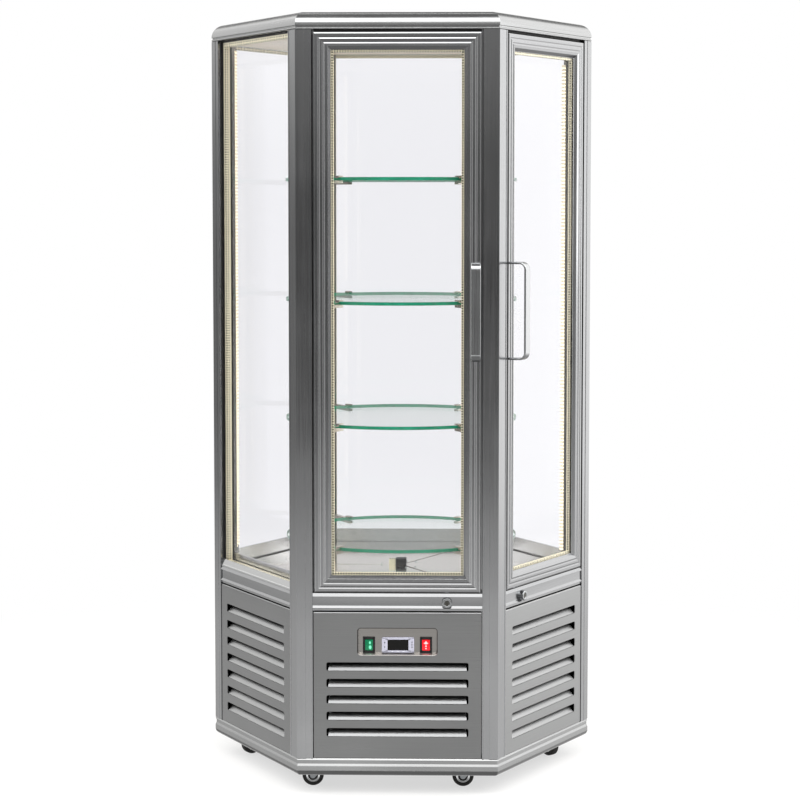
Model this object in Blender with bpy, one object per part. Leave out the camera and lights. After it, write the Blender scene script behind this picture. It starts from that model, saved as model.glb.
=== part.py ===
# Refrigerated cake display case: a glazed hexagonal cabinet on castors, with two hinged glass
# doors, four round glass shelves and the cooling unit in its louvred base. Metres, +Z up.
# The front face looks along -Y. The origin is on the floor, below the middle of the whole case.

import math

import bmesh
import bpy
from mathutils import Matrix, Vector

for item in list(bpy.data.objects):
    bpy.data.objects.remove(item, do_unlink=True)

# Clearances
seat_gap = 0.0003            # between pieces that touch
overrun = 0.004              # how far a cutter runs past what it cuts
overlap = 0.001              # how far two shapes of one piece run into each other

# The hexagon and the storeys, from the floor up
side_length = 0.460          # outer side of the hexagon
castor_height = 0.068        # floor to the underside of the base tray
plinth_drop = 0.023          # the plinth hangs this far below the tray's floor
plinth_height = 0.0415
base_opening = 0.3425        # plinth to crossbar
crossbar_height = 0.040
chamber_height = 1.277       # crossbar to top cover
rim_height = 0.040

apothem = side_length * math.sqrt(3) / 2
plinth_bottom = castor_height - plinth_drop
plinth_top = plinth_bottom + plinth_height
crossbar_bottom = plinth_top + base_opening
crossbar_top = crossbar_bottom + crossbar_height
rim_bottom = crossbar_top + chamber_height
rim_top = rim_bottom + rim_height

# Sheet metal of the base tray, the top cover and the base panels
sheet = 0.0015

# Base tray: a plinth with two beads and a rolled-under foot, round a flat floor
plinth_bead = 0.007
plinth_bead_relief = 0.003
plinth_recess = 0.006
plinth_roll = 0.020
plinth_return = 0.024
base_floor_thickness = 0.002

# Corner posts: two arms in one hollow extrusion, each with a groove and an edge bead
post_flange = 0.0364         # width of an arm on its face
post_flat = 0.0197
post_bead = 0.0034
post_groove = 0.001
groove_slope = 0.0005
post_wall = 0.003
fixed_lip = 0.016            # rebate behind a fixed pane
door_lip = 0.0395            # rebate behind a door
lip_thickness = 0.0062
light_ridge = 0.003          # ridge inside each arm that carries a light strip
light_ridge_width = 0.012

# Fixed glazing: sealed double panes set back in the rebates
pane_thickness = 0.0215
pane_setback = 0.008
pane_side_gap = 0.0005
pane_sheet = 0.004
door_pane_sheet = 0.0035
pane_spacer = 0.012

jamb_depth = pane_setback + pane_thickness + seat_gap
post_depth = jamb_depth + lip_thickness

# Crossbars: two beads with a recess between them, on a ring behind the posts
crossbar_bead = 0.008
crossbar_lower_gap = 0.0045
crossbar_recess = 0.002
crossbar_ease = 0.001
belt_width = 0.012
belt_height = 0.0135
web_overlap = 0.004
sill_height = 0.033          # upstand behind the panes and doors

# Top cover: a rolled edge over a groove and a bead
rim_bead = 0.0045
rim_groove_height = 0.0035
rim_groove = 0.002
rim_roll = 0.030
rim_width = 0.040
rim_recess = 0.0052
rim_return = 0.050
ceiling_thickness = 0.0077
fixed_head_height = 0.0087
door_head_height = 0.0445

# Doors
door_side_gap = 0.0048
door_bottom_gap = 0.0022
door_top_gap = 0.0066
stile_width = 0.0385
stile_rebate = 0.010
stile_lip = 0.0085
bevel_fall = 0.007
ridge_relief = 0.002
ridge_slope = 0.0005
outer_ridge = 0.004
middle_ridge_start = 0.0109
middle_ridge_end = 0.0152
inner_ridge_start = 0.0186
inner_ridge_end = 0.023
gasket_thickness = 0.005
gasket_inset = 0.012
gasket_width = 0.018
door_glass_thickness = 0.0138
pivot_inset = 0.012
pivot_depth = 0.009
pin_radius = 0.003
pin_clearance = 0.0004
pin_reach = 0.008
pin_root = 0.006

# Bow handles
handle_width = 0.022
handle_length = 0.223
handle_reach = 0.045
handle_strip = 0.005
handle_bend = 0.012
handle_height = 0.6435       # middle of the handle above the crossbar top
handle_inset = 0.0122        # middle of the strip from the door's free edge

# Locks
lock_inset = 0.0806          # middle of a lock from the post beside it
lock_boss_radius = 0.0115
lock_boss_reach = 0.007
lock_rotor_radius = 0.0058
lock_rotor_length = 0.022
lock_rotor_recess = 0.001
lock_key_width = 0.0016
lock_key_height = 0.008
lock_key_depth = 0.003

# Base panels: pressed sheet with inward louvres and folded edges
panel_setback = 0.0012
panel_side_gap = 0.0016
panel_top_gap = 0.0034
panel_fold = 0.010
louvre_height = 0.020
front_louvre_margin = 0.0295 # plain strip beside a louvre
side_louvre_margin = 0.032
louvre_depth = 0.012
louvre_taper = 0.012
louvre_mouth = 0.003
front_louvres = 5
front_louvre_pitch = 0.0381
front_louvre_start = 0.0505  # lowest slot above the panel's foot
side_louvres = 7
side_louvre_pitch = 0.0405
side_louvre_start = 0.032
lead_hole_radius = 0.011
lead_hole_side = 0.100
lead_hole_rise = 0.016

# Control pocket and its devices
pocket_width = 0.181
pocket_height = 0.0605
pocket_foot = 0.2408         # pocket's lower edge above the panel's foot
pocket_depth = 0.010
pocket_corner = 0.007
device_drop = 0.0087         # devices sit this far below the pocket's middle
hole_clearance = 0.0006
switch_width = 0.028
switch_height = 0.037
switch_side = 0.0652
bezel_thickness = 0.002
switch_body_width = 0.024
switch_body_height = 0.033
switch_box_depth = 0.038
switch_box_wall = 0.005
rocker_width = 0.0204
rocker_length = 0.0272
rocker_window_gap = 0.0003
rocker_end_gap = 0.0014
rocker_well = 0.012
rocker_rise = 0.0035
rocker_dip = 0.002
rocker_heel = 0.006
rocker_pivot = 0.003
rocker_tilt = math.radians(10)
controller_width = 0.074
controller_height = 0.035
controller_thickness = 0.004
controller_side = 0.0013
controller_body_width = 0.068
controller_body_height = 0.028
display_width = 0.048
display_height = 0.025
display_depth = 0.0012

# Shelves, and the uprights in four of the posts that carry their clips
shelf_radius = 0.281
shelf_thickness = 0.008
shelf_pitch = 0.289
first_shelf = 0.073          # underside of the lowest shelf above the crossbar top
shelf_names = ("shelf_4", "shelf_3", "shelf_2", "shelf_1")
clip_width = 0.011
clip_grip = 0.012
clip_wall = 0.007
clip_foot = 0.006
clip_tab = 0.003
arm_rise = 0.006
upright_width = 0.024
upright_thickness = 0.003
upright_end_gap = 0.004

# Chamber floor on feet, and the insulated tub below it
deck_thickness = 0.003
deck_slit = 0.006
deck_foot_radius = 0.008
deck_foot_share = 0.80
cover_size = 0.026           # cover over the drain and the probe
cover_height = 0.0165
tub_flange_thickness = 0.010
tub_width = 0.380
tub_length = 0.480
tub_depth = 0.145
tub_wall = 0.014

# Castors
castor_inset = 0.110         # swivel axis from the cabinet's corner
castor_plate = 0.050
castor_plate_thickness = 0.0025
castor_crown_radius = 0.020
castor_crown_thickness = 0.0042
wheel_radius = 0.025
wheel_width = 0.020
wheel_bore = 0.0039
axle_radius = 0.0035
axle_head_radius = 0.006
axle_head = 0.002
castor_trail = 0.024
fork_thickness = 0.0025
fork_gap = 0.0012
fork_eye = 0.007
castors = (                  # name, place round the cabinet and direction of trail, in degrees
    ("front_left", 240, 180),
    ("front_right", 300, 180),
    ("right", 0, 310),
    ("rear_right", 60, 150),
    ("rear_left", 120, 200),
    ("left", 180, 215),
)

# Cooling unit
compressor_radius = 0.062
compressor_height = 0.150
compressor_dome = 0.030
compressor_x = -0.135
compressor_y = 0.060
mount_width = 0.170
mount_length = 0.110
mount_thickness = 0.003
mount_foot = 0.014
mount_foot_radius = 0.011
mount_foot_inset = 0.016
condenser_width = 0.220
condenser_depth = 0.045
condenser_height = 0.190
condenser_x = 0.075
condenser_y = 0.230          # front of the coil
evaporator_width = 0.260
evaporator_depth = 0.085
evaporator_height = 0.100
evaporator_y = 0.020
fin_pitch = 0.016
fin_gap_share = 0.55
fin_cut_share = 0.62
fan_radius = 0.072
fan_hub_radius = 0.013
fan_hub_length = 0.016
fan_blades = 5
fan_blade_thickness = 0.0016
fan_blade_pitch = math.radians(32)
fan_blade_width = 0.036
fan_motor_radius = 0.027
fan_motor_length = 0.042
fan_shaft_radius = 0.003
fan_clearance = 0.006
strap_width = 0.026
strap_thickness = 0.003
cold_fan_share = 0.62        # size of the fan in the tub against the condenser's
pipe_radius = 0.004

# Places worked out from the sizes
half_face = side_length / 2
cos30 = math.cos(math.radians(30))
tan30 = math.tan(math.radians(30))
centre_y = handle_reach / 2
window_edge = half_face - post_flange
lock_side = window_edge - lock_inset
castor_radius = side_length - castor_inset
door_half = window_edge - door_side_gap
door_bottom = crossbar_top + door_bottom_gap
door_top = rim_bottom - door_top_gap
door_thickness = jamb_depth - gasket_thickness - 2 * seat_gap
panel_bottom = plinth_top + seat_gap
panel_top = crossbar_bottom - panel_top_gap
panel_half = window_edge - panel_side_gap
pivot_side = door_half - pivot_inset
bore_radius = pin_radius + pin_clearance
post_foot = plinth_top + seat_gap
post_head = rim_bottom - seat_gap
inner_face = post_depth + light_ridge + seat_gap    # where the ring, the tub and the ceiling start
belt_top = crossbar_bottom + belt_height
floor_top = castor_height + base_floor_thickness


# Materials
def material(name, colour, roughness, metallic=0.0, alpha=1.0):
    made = bpy.data.materials.new(name)
    made.use_nodes = True
    shader = made.node_tree.nodes["Principled BSDF"]
    shader.inputs["Base Color"].default_value = (*colour, 1.0)
    shader.inputs["Roughness"].default_value = roughness
    shader.inputs["Metallic"].default_value = metallic
    shader.inputs["Alpha"].default_value = alpha
    made.diffuse_color = (*colour, alpha)
    return made


brushed = material("brushed_stainless", (0.34, 0.34, 0.34), 0.38, 1.0)
satin = material("satin_aluminium", (0.42, 0.42, 0.43), 0.34, 1.0)
polished = material("polished_stainless", (0.55, 0.54, 0.52), 0.10, 1.0)
zinc_plated = material("zinc_plated_steel", (0.45, 0.46, 0.47), 0.35, 1.0)
clear_glass = material("clear_glass", (0.80, 0.90, 0.88), 0.03, 0.0, 0.30)
green_glass = material("green_edged_glass", (0.02, 0.22, 0.13), 0.05, 0.0, 0.45)
rubber = material("black_rubber", (0.02, 0.02, 0.02), 0.75)
black_plastic = material("black_plastic", (0.03, 0.03, 0.03), 0.40)
green_lens = material("green_lens", (0.02, 0.50, 0.25), 0.20)
red_lens = material("red_lens", (0.75, 0.03, 0.03), 0.20)
chrome = material("chrome", (0.60, 0.60, 0.60), 0.08, 1.0)
black_enamel = material("black_enamel", (0.03, 0.03, 0.035), 0.35)
white_moulding = material("white_moulding", (0.78, 0.78, 0.76), 0.50)


# Shapes, all made as bmesh volumes
def finished(bm):
    bmesh.ops.remove_doubles(bm, verts=bm.verts, dist=seat_gap / 10)
    bmesh.ops.recalc_face_normals(bm, faces=bm.faces)
    return bm


def new_points(extruded_geometry):
    return [item for item in extruded_geometry if isinstance(item, bmesh.types.BMVert)]


def extruded(outline, axis, start, end):
    """A prism: the outline's two values fill the other two axes in X, Y, Z order."""
    places = {
        "X": lambda a, b: (start, a, b),
        "Y": lambda a, b: (a, start, b),
        "Z": lambda a, b: (a, b, start),
    }
    bm = bmesh.new()
    face = bm.faces.new([bm.verts.new(places[axis](a, b)) for a, b in outline])
    grown = bmesh.ops.extrude_face_region(bm, geom=[face])["geom"]
    step = Vector([end - start if axis == name else 0 for name in "XYZ"])
    bmesh.ops.translate(bm, verts=new_points(grown), vec=step)
    return finished(bm)


def box(low, high):
    bm = bmesh.new()
    bmesh.ops.create_cube(bm, size=1)
    low, high = Vector(low), Vector(high)
    bmesh.ops.scale(bm, verts=bm.verts, vec=high - low)
    bmesh.ops.translate(bm, verts=bm.verts, vec=(low + high) / 2)
    return finished(bm)


def cylinder(radius, start, end, segments=24):
    """A round bar from one point to another."""
    start, end = Vector(start), Vector(end)
    bm = bmesh.new()
    bmesh.ops.create_cone(bm, cap_ends=True, segments=segments, radius1=radius, radius2=radius,
                          depth=(end - start).length)
    turn = (end - start).to_track_quat("Z", "Y").to_matrix().to_4x4()
    bmesh.ops.transform(bm, matrix=Matrix.Translation((start + end) / 2) @ turn, verts=bm.verts)
    return finished(bm)


def spun(points, steps, axis, closed):
    """Points joined by edges and spun round an axis through the origin."""
    bm = bmesh.new()
    line = [bm.verts.new(point) for point in points]
    ends = line[1:] + line[:1] if closed else line[1:]
    edges = [bm.edges.new(pair) for pair in zip(line, ends)]
    bmesh.ops.spin(bm, geom=line + edges, cent=(0, 0, 0), axis=axis, angle=math.tau, steps=steps,
                   use_merge=True)
    return finished(bm)


def turned(profile, steps, axis=(0, 0, 1)):
    """A closed profile of (radius, height) points spun round an axis at right angles to X."""
    axis = Vector(axis)
    out = Vector((1, 0, 0))
    return spun([out * radius + axis * height for radius, height in profile], steps, axis, True)


def hexagon_ring(profile, closed=True):
    """A mitred ring: the profile's points are (depth inside the face, height)."""
    points = [((apothem - depth) / cos30, 0, z) for depth, z in profile]
    bm = spun(points, 6, (0, 0, 1), closed)
    outward = sum(face.normal.xy.dot(face.calc_center_median().xy) for face in bm.faces)
    if outward < 0:
        bmesh.ops.reverse_faces(bm, faces=bm.faces)
    return bm


def hexagon_plate(depth, bottom, top):
    corner = (apothem - depth) / cos30
    turns = [math.radians(60 * step) for step in range(6)]
    return extruded([(corner * math.cos(a), corner * math.sin(a)) for a in turns], "Z", bottom, top)


def mitred_frame(half_width, bottom, top, profile):
    """A frame in the face's plane: profile points are (inset from the edge, depth)."""
    bm = bmesh.new()
    rings = []
    for inset, depth in profile:
        corners = ((-half_width + inset, bottom + inset), (half_width - inset, bottom + inset),
                   (half_width - inset, top - inset), (-half_width + inset, top - inset))
        rings.append([bm.verts.new(at(along, depth, z)) for along, z in corners])
    for one, following in zip(rings, rings[1:] + rings[:1]):
        for corner in range(4):
            ahead = (corner + 1) % 4
            bm.faces.new((one[corner], one[ahead], following[ahead], following[corner]))
    return finished(bm)


def at(along, depth, z):
    """A point of a face: along it, inside its plane, and above the floor."""
    return Vector((along, depth - apothem, z))


def moved(bm, offset=(0, 0, 0), turn=0.0):
    bmesh.ops.transform(bm, matrix=Matrix.Rotation(turn, 4, "Z"), verts=bm.verts)
    bmesh.ops.translate(bm, verts=bm.verts, vec=offset)
    return bm


def mirrored(bm):
    bmesh.ops.scale(bm, verts=bm.verts, vec=(-1, 1, 1))
    bmesh.ops.reverse_faces(bm, faces=bm.faces)
    return bm


def temporary(bm):
    mesh = bpy.data.meshes.new("tool")
    bm.to_mesh(mesh)
    bm.free()
    made = bpy.data.objects.new("tool", mesh)
    bpy.context.collection.objects.link(made)
    return made


def evaluated(made):
    """The shape of an object after its modifiers, as a bmesh."""
    bpy.context.view_layer.update()
    seen = made.evaluated_get(bpy.context.evaluated_depsgraph_get())
    bm = bmesh.new()
    bm.from_mesh(seen.to_mesh())
    seen.to_mesh_clear()
    return bm


def carved(base, added=(), cut=(), from_sheet=False):
    """The base volume, or a sheet given its thickness, with volumes united and cut away."""
    body = temporary(base)
    tools = []
    if from_sheet:
        skin = body.modifiers.new("sheet", "SOLIDIFY")
        skin.thickness = sheet
        skin.offset = -1
        skin.use_even_offset = True
    for operation, volumes in (("UNION", added), ("DIFFERENCE", cut)):
        for volume in volumes:
            tools.append(temporary(volume))
            step = body.modifiers.new(operation, "BOOLEAN")
            step.operation = operation
            step.object = tools[-1]
    bm = evaluated(body)
    for spent in [body] + tools:
        bpy.data.objects.remove(spent, do_unlink=True)
    bmesh.ops.dissolve_degenerate(bm, edges=bm.edges, dist=seat_gap / 100)
    return bm


def tube(points, radius):
    """A bent pipe that rounds the corners of a route."""
    curve = bpy.data.curves.new("pipe", "CURVE")
    curve.dimensions = "3D"
    curve.bevel_depth = radius
    curve.bevel_resolution = 1
    curve.use_fill_caps = True
    curve.resolution_u = 4
    spline = curve.splines.new("NURBS")
    spline.points.add(len(points) - 1)
    for point, place in zip(spline.points, points):
        point.co = (*place, 1)
    spline.use_endpoint_u = True
    spline.order_u = 3
    made = bpy.data.objects.new("pipe", curve)
    bpy.context.collection.objects.link(made)
    bm = evaluated(made)
    bpy.data.objects.remove(made, do_unlink=True)
    return finished(bm)


# Empties that carry the pieces, and the named pieces themselves
def empty(name, parent=None, location=(0, 0, 0), turn=0.0):
    made = bpy.data.objects.new(name, None)
    made.empty_display_size = handle_width
    made.parent = parent
    made.location = location
    made.rotation_euler.z = turn
    bpy.context.collection.objects.link(made)
    return made


def piece(name, bm, surface, parent, pivot=(0, 0, 0), smooth=0.0):
    """A named sub-part whose origin is the pivot, in its parent's frame."""
    bmesh.ops.translate(bm, verts=bm.verts, vec=-Vector(pivot))
    mesh = bpy.data.meshes.new(name)
    bm.to_mesh(mesh)
    bm.free()
    mesh.materials.append(surface)
    if smooth:
        mesh.shade_smooth()
        mesh.set_sharp_from_angle(angle=math.radians(smooth))
    made = bpy.data.objects.new(name, mesh)
    made.parent = parent
    made.location = pivot
    bpy.context.collection.objects.link(made)
    return made


cabinet = empty("cabinet_axis", location=(0, centre_y, 0))
face_turns = {"front": 0, "right": 60, "rear_right": 120, "rear": 180, "rear_left": 240, "left": 300}
faces = {name: empty(f"{name}_face", cabinet, turn=math.radians(turn))
         for name, turn in face_turns.items()}
door_faces = ("front", "right")


# Base tray with the castors' mounting plates pressed into it
def plinth_skin():
    upper = plinth_top - plinth_bead
    lower = upper - plinth_recess
    roll_z = plinth_bottom + plinth_roll
    roll = [(plinth_roll * (1 - math.cos(math.radians(turn))),
             roll_z - plinth_roll * math.sin(math.radians(turn))) for turn in range(0, 91, 15)]
    return hexagon_ring([
        (plinth_return, plinth_top), (0, plinth_top), (0, upper + plinth_bead_relief),
        (plinth_bead_relief, upper), (plinth_bead_relief, lower), (0, lower - plinth_bead_relief / 2),
        *roll, (plinth_return, plinth_bottom),
    ], closed=False)


tray_parts = [hexagon_plate(sheet / 2, castor_height, floor_top)]
castor_spots = {}
for name, place, trail in castors:
    turn = math.radians(place)
    castor_spots[name] = Vector((math.cos(turn), math.sin(turn), 0)) * castor_radius
    half = castor_plate / 2
    plate = box((-half, -half, castor_height - castor_plate_thickness),
                (half, half, castor_height + overlap))
    tray_parts.append(moved(plate, castor_spots[name], turn))
piece("base_tray", carved(plinth_skin(), added=tray_parts, from_sheet=True), brushed, cabinet)


# Corner posts
def arm(lip):
    """One arm's outline from its flat to its inner side: (along the face, depth)."""
    groove_end = post_flange - post_bead
    ridge_end = post_flange + light_ridge_width
    return [
        (post_flat, 0), (post_flat + groove_slope, post_groove),
        (groove_end - groove_slope, post_groove), (groove_end, 0), (post_flange, 0),
        (post_flange, jamb_depth), (post_flange + lip, jamb_depth), (post_flange + lip, post_depth),
        (ridge_end, post_depth), (ridge_end, post_depth + light_ridge),
        (post_flange, post_depth + light_ridge), (post_flange, post_depth),
    ]


def post_point(along, depth, side):
    """A point of a post whose corner is at -Y, on its right (1) or left (-1) arm."""
    return (side * (along * cos30 - depth / 2), -side_length + along / 2 + depth * cos30)


def post(left_lip, right_lip):
    outline = [post_point(0, 0, 1)] + [post_point(u, d, 1) for u, d in arm(right_lip)]
    outline += [post_point(post_depth * tan30, post_depth, 1)]
    outline += [post_point(u, d, -1) for u, d in reversed(arm(left_lip))]
    near = post_wall + post_groove
    far = post_depth - post_wall
    end = post_flange - post_wall
    hollow = [(near * tan30, near), (end, near), (end, far), (far * tan30, far)]
    inside = [post_point(u, d, 1) for u, d in hollow]
    inside += [post_point(u, d, -1) for u, d in reversed(hollow[1:3])]
    return carved(extruded(outline, "Z", post_foot, post_head),
                  cut=[extruded(inside, "Z", post_foot - overrun, post_head + overrun)])


posts = (
    ("front_left", 330, fixed_lip, door_lip), ("front_right", 30, door_lip, door_lip),
    ("right", 90, door_lip, fixed_lip), ("rear_right", 150, fixed_lip, fixed_lip),
    ("rear_left", 210, fixed_lip, fixed_lip), ("left", 270, fixed_lip, fixed_lip),
)
for name, turn, left_lip, right_lip in posts:
    piece(f"{name}_post", moved(post(left_lip, right_lip), turn=math.radians(turn)), satin, cabinet)


# Crossbars with the sills behind them, all on one ring
def crossbar():
    upper = crossbar_top - crossbar_bead
    lower = crossbar_bottom + crossbar_lower_gap + crossbar_bead
    back = jamb_depth - seat_gap
    points = [
        (crossbar_ease, crossbar_top), (0, crossbar_top - crossbar_ease), (0, upper + crossbar_ease),
        (crossbar_recess, upper), (crossbar_recess, lower), (0, lower - crossbar_ease),
        (0, lower - crossbar_bead + crossbar_ease), (crossbar_recess, lower - crossbar_bead),
        (crossbar_recess, crossbar_bottom), (back, crossbar_bottom), (back, crossbar_top),
    ]
    half = window_edge - seat_gap
    return extruded([(depth - apothem, z) for depth, z in points], "X", -half, half)


def sill(lip):
    near = jamb_depth - web_overlap
    far = inner_face + belt_width / 2
    low = crossbar_bottom + overlap
    points = [
        (near, low), (far, low), (far, belt_top - overlap), (post_depth, belt_top - overlap),
        (post_depth, crossbar_top + sill_height), (jamb_depth, crossbar_top + sill_height),
        (jamb_depth, crossbar_top - overlap), (near, crossbar_top - overlap),
    ]
    half = window_edge - lip - seat_gap
    return extruded([(depth - apothem, z) for depth, z in points], "X", -half, half)


lock_z = (crossbar_top + crossbar_bottom) / 2 - crossbar_ease


def lock_boss(side):
    return cylinder(lock_boss_radius, at(side * lock_side, -lock_boss_reach, lock_z),
                    at(side * lock_side, 2 * crossbar_recess, lock_z))


def lock_bore(side):
    return cylinder(lock_rotor_radius + seat_gap, at(side * lock_side, -lock_boss_reach - overrun, lock_z),
                    at(side * lock_side, lock_rotor_length, lock_z))


def pivot_bore(side, level):
    """A bore for a door's pin, down into a crossbar or up into the top cover."""
    reach = pin_reach + overlap
    return cylinder(bore_radius, at(side * pivot_side, pivot_depth, level - reach),
                    at(side * pivot_side, pivot_depth, level + reach), 16)


hinge_sides = {"front": -1, "right": 1}
frame_parts = []
frame_cuts = []
cover_cuts = []
for name, turn in face_turns.items():
    turn = math.radians(turn)
    frame_parts += [moved(crossbar(), turn=turn),
                    moved(sill(door_lip if name in door_faces else fixed_lip), turn=turn)]
    if name in door_faces:
        side = hinge_sides[name]
        frame_parts.append(moved(lock_boss(-side), turn=turn))
        frame_cuts += [moved(lock_bore(-side), turn=turn),
                       moved(pivot_bore(side, crossbar_top), turn=turn)]
        cover_cuts.append(moved(pivot_bore(side, rim_bottom), turn=turn))
belt = hexagon_ring([(inner_face, crossbar_bottom), (inner_face, belt_top),
                     (inner_face + belt_width, belt_top), (inner_face + belt_width, crossbar_bottom)])
piece("crossbar_frame", carved(belt, added=frame_parts, cut=frame_cuts), satin, cabinet)


# Top cover: one folded sheet with a rolled edge and a sunk roof
def cover_skin():
    groove_bottom = rim_bottom + rim_bead
    groove_top = groove_bottom + rim_groove_height
    roll_z = rim_top - rim_roll
    roll = [(rim_roll * (1 - math.cos(math.radians(turn))),
             roll_z + rim_roll * math.sin(math.radians(turn))) for turn in range(0, 91, 15)]
    return hexagon_ring([
        (rim_return, rim_bottom), (0, rim_bottom), (0, groove_bottom), (rim_groove, groove_bottom),
        (rim_groove, groove_top), (0, groove_top), *roll, (rim_width, rim_top),
        (rim_width, rim_top - rim_recess), (apothem, rim_top - rim_recess),
    ], closed=False)


piece("top_cover", carved(cover_skin(), cut=cover_cuts, from_sheet=True), brushed, cabinet)


# Ceiling, with the rails that close the rebates at their heads
def head_rail(lip, height):
    far = inner_face + belt_width / 2
    low = post_head - ceiling_thickness + overlap
    points = [
        (jamb_depth, post_head - height), (jamb_depth, post_head - overlap),
        (far, post_head - overlap), (far, low), (post_depth, low), (post_depth, post_head - height),
    ]
    half = window_edge - lip - seat_gap
    return extruded([(depth - apothem, z) for depth, z in points], "X", -half, half)


head_rails = []
for name, turn in face_turns.items():
    rail = head_rail(door_lip, door_head_height) if name in door_faces else head_rail(
        fixed_lip, fixed_head_height)
    head_rails.append(moved(rail, turn=math.radians(turn)))
ceiling = hexagon_plate(inner_face, post_head - ceiling_thickness, post_head)
piece("ceiling_panel", carved(ceiling, added=head_rails), polished, cabinet)


# Fixed panes: two sheets of glass on a spacer, the space between them open at the head
def double_pane(half, near, thickness, leaf, bottom, top):
    block = box(at(-half, near, bottom), at(half, near + thickness, top))
    space = box(at(-half + pane_spacer, near + leaf, bottom + pane_spacer),
                at(half - pane_spacer, near + thickness - leaf, top + overrun))
    return carved(block, cut=[space])


for name, parent in faces.items():
    if name not in door_faces:
        pane = double_pane(window_edge - pane_side_gap, pane_setback, pane_thickness, pane_sheet,
                           crossbar_top + seat_gap, post_head)
        piece(f"{name}_glass", pane, clear_glass, parent)


# Base panels: one sheet each, with the louvres pressed inwards from it
def louvred_sheet(count, pitch, start, margin, pocket):
    """The outer skin of a panel, before it gets its thickness."""
    bm = bmesh.new()
    half = panel_half - margin
    columns = (-panel_half, -half, half, panel_half)
    levels = [panel_bottom]
    for step in range(count):
        low = panel_bottom + start + step * pitch
        levels += [low, low + louvre_height]
    levels.append(panel_top)
    grid = [[bm.verts.new(at(t, panel_setback, z)) for t in columns] for z in levels]
    for row, (low, high) in enumerate(zip(grid, grid[1:])):
        slot = row % 2 == 1
        for column in (0, 2) if slot else (0, 1, 2):
            cell = bm.faces.new((low[column], low[column + 1], high[column + 1], high[column]))
            if row == 2 * count and column == 1 and pocket:
                upper_cell = cell
        if slot:
            mouth = levels[row + 1] - louvre_mouth
            lip = [bm.verts.new(at(t, panel_setback + louvre_depth, mouth))
                   for t in (-half + louvre_taper, half - louvre_taper)]
            bm.faces.new((low[1], low[2], lip[1], lip[0]))
    if pocket:
        press_pocket(bm, upper_cell)
    rim = [edge for edge in bm.edges if edge.is_boundary and all(on_outline(v.co) for v in edge.verts)]
    folded = bmesh.ops.extrude_edge_only(bm, edges=rim)["geom"]
    bmesh.ops.translate(bm, verts=new_points(folded), vec=(0, panel_fold, 0))
    bmesh.ops.recalc_face_normals(bm, faces=bm.faces)
    if sum(face.normal.y * face.calc_area() for face in bm.faces) > 0:
        bmesh.ops.reverse_faces(bm, faces=bm.faces)
    return bm


def on_outline(point):
    on_side = abs(abs(point.x) - panel_half) < seat_gap
    on_end = min(abs(point.z - panel_bottom), abs(point.z - panel_top)) < seat_gap
    return on_side or on_end


def press_pocket(bm, cell):
    """The control pocket: a cell is inset to the pocket's outline and pushed in."""
    bmesh.ops.inset_individual(bm, faces=[cell], thickness=pocket_corner)
    foot = panel_bottom + pocket_foot
    middle = cell.calc_center_median()
    for vert in cell.verts:
        vert.co.x = math.copysign(pocket_width / 2, vert.co.x)
        vert.co.z = foot + pocket_height if vert.co.z > middle.z else foot
    sunk = new_points(bmesh.ops.extrude_face_region(bm, geom=[cell])["geom"])
    bmesh.ops.translate(bm, verts=sunk, vec=(0, pocket_depth, 0))
    if cell.is_valid:
        bmesh.ops.delete(bm, geom=[cell], context="FACES_ONLY")
    walls = [edge for vert in sunk for edge in vert.link_edges
             if abs(edge.verts[0].co.y - edge.verts[1].co.y) > pocket_depth / 2]
    bmesh.ops.bevel(bm, geom=walls, offset=pocket_corner, offset_type="OFFSET", segments=3,
                    profile=0.5, affect="EDGES", material=-1)


device_z = panel_bottom + pocket_foot + pocket_height / 2 - device_drop
pocket_floor = panel_setback + pocket_depth


def device_box(along, width, height, near, far):
    """A block on the control pocket's floor: near and far are measured from that floor."""
    return box(at(along - width / 2, pocket_floor + near, device_z - height / 2),
               at(along + width / 2, pocket_floor + far, device_z + height / 2))


def device_hole(along, width, height):
    return device_box(along, width + 2 * hole_clearance, height + 2 * hole_clearance,
                      -overrun, overrun)


holes = [device_hole(side * switch_side, switch_body_width, switch_body_height) for side in (-1, 1)]
holes.append(device_hole(controller_side, controller_body_width, controller_body_height))
front_sheet = louvred_sheet(front_louvres, front_louvre_pitch, front_louvre_start,
                            front_louvre_margin, True)
piece("front_base_panel", carved(front_sheet, cut=holes, from_sheet=True), brushed, faces["front"])

lead_hole = at(lead_hole_side, panel_setback, panel_bottom + lead_hole_rise)
for name in ("right", "rear_right", "rear", "rear_left", "left"):
    side_sheet = louvred_sheet(side_louvres, side_louvre_pitch, side_louvre_start,
                               side_louvre_margin, False)
    reach = Vector((0, overrun, 0))
    cuts = [cylinder(lead_hole_radius, lead_hole - reach, lead_hole + reach)] if name == "rear" else []
    piece(f"{name}_base_panel", carved(side_sheet, cut=cuts, from_sheet=True), brushed, faces[name])


# Control unit: a box behind the pocket that carries the controller and the two switch bezels
def control_unit():
    behind = switch_box_depth - switch_box_wall
    front = -seat_gap - controller_thickness
    parts = [device_box(controller_side, controller_width, controller_height, front, -seat_gap),
             device_box(controller_side, controller_body_width, controller_body_height,
                        front / 2, behind + overlap)]
    wells = [device_box(controller_side, display_width, display_height, front - overrun,
                        front + display_depth)]
    for side in (-1, 1):
        along = side * switch_side
        parts.append(device_box(along, switch_width, switch_height,
                                -seat_gap - bezel_thickness, -seat_gap))
        parts.append(device_box(along, switch_body_width, switch_body_height,
                                -seat_gap - bezel_thickness / 2, behind + overlap))
        wells.append(device_box(along, rocker_width + 2 * rocker_window_gap,
                                rocker_length + 2 * rocker_end_gap,
                                -bezel_thickness - overrun, rocker_well))
    bridge = device_box(0, 2 * switch_side + switch_width, switch_height, behind, switch_box_depth)
    return carved(bridge, added=parts, cut=wells)


piece("control_unit", control_unit(), black_plastic, faces["front"])


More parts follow.
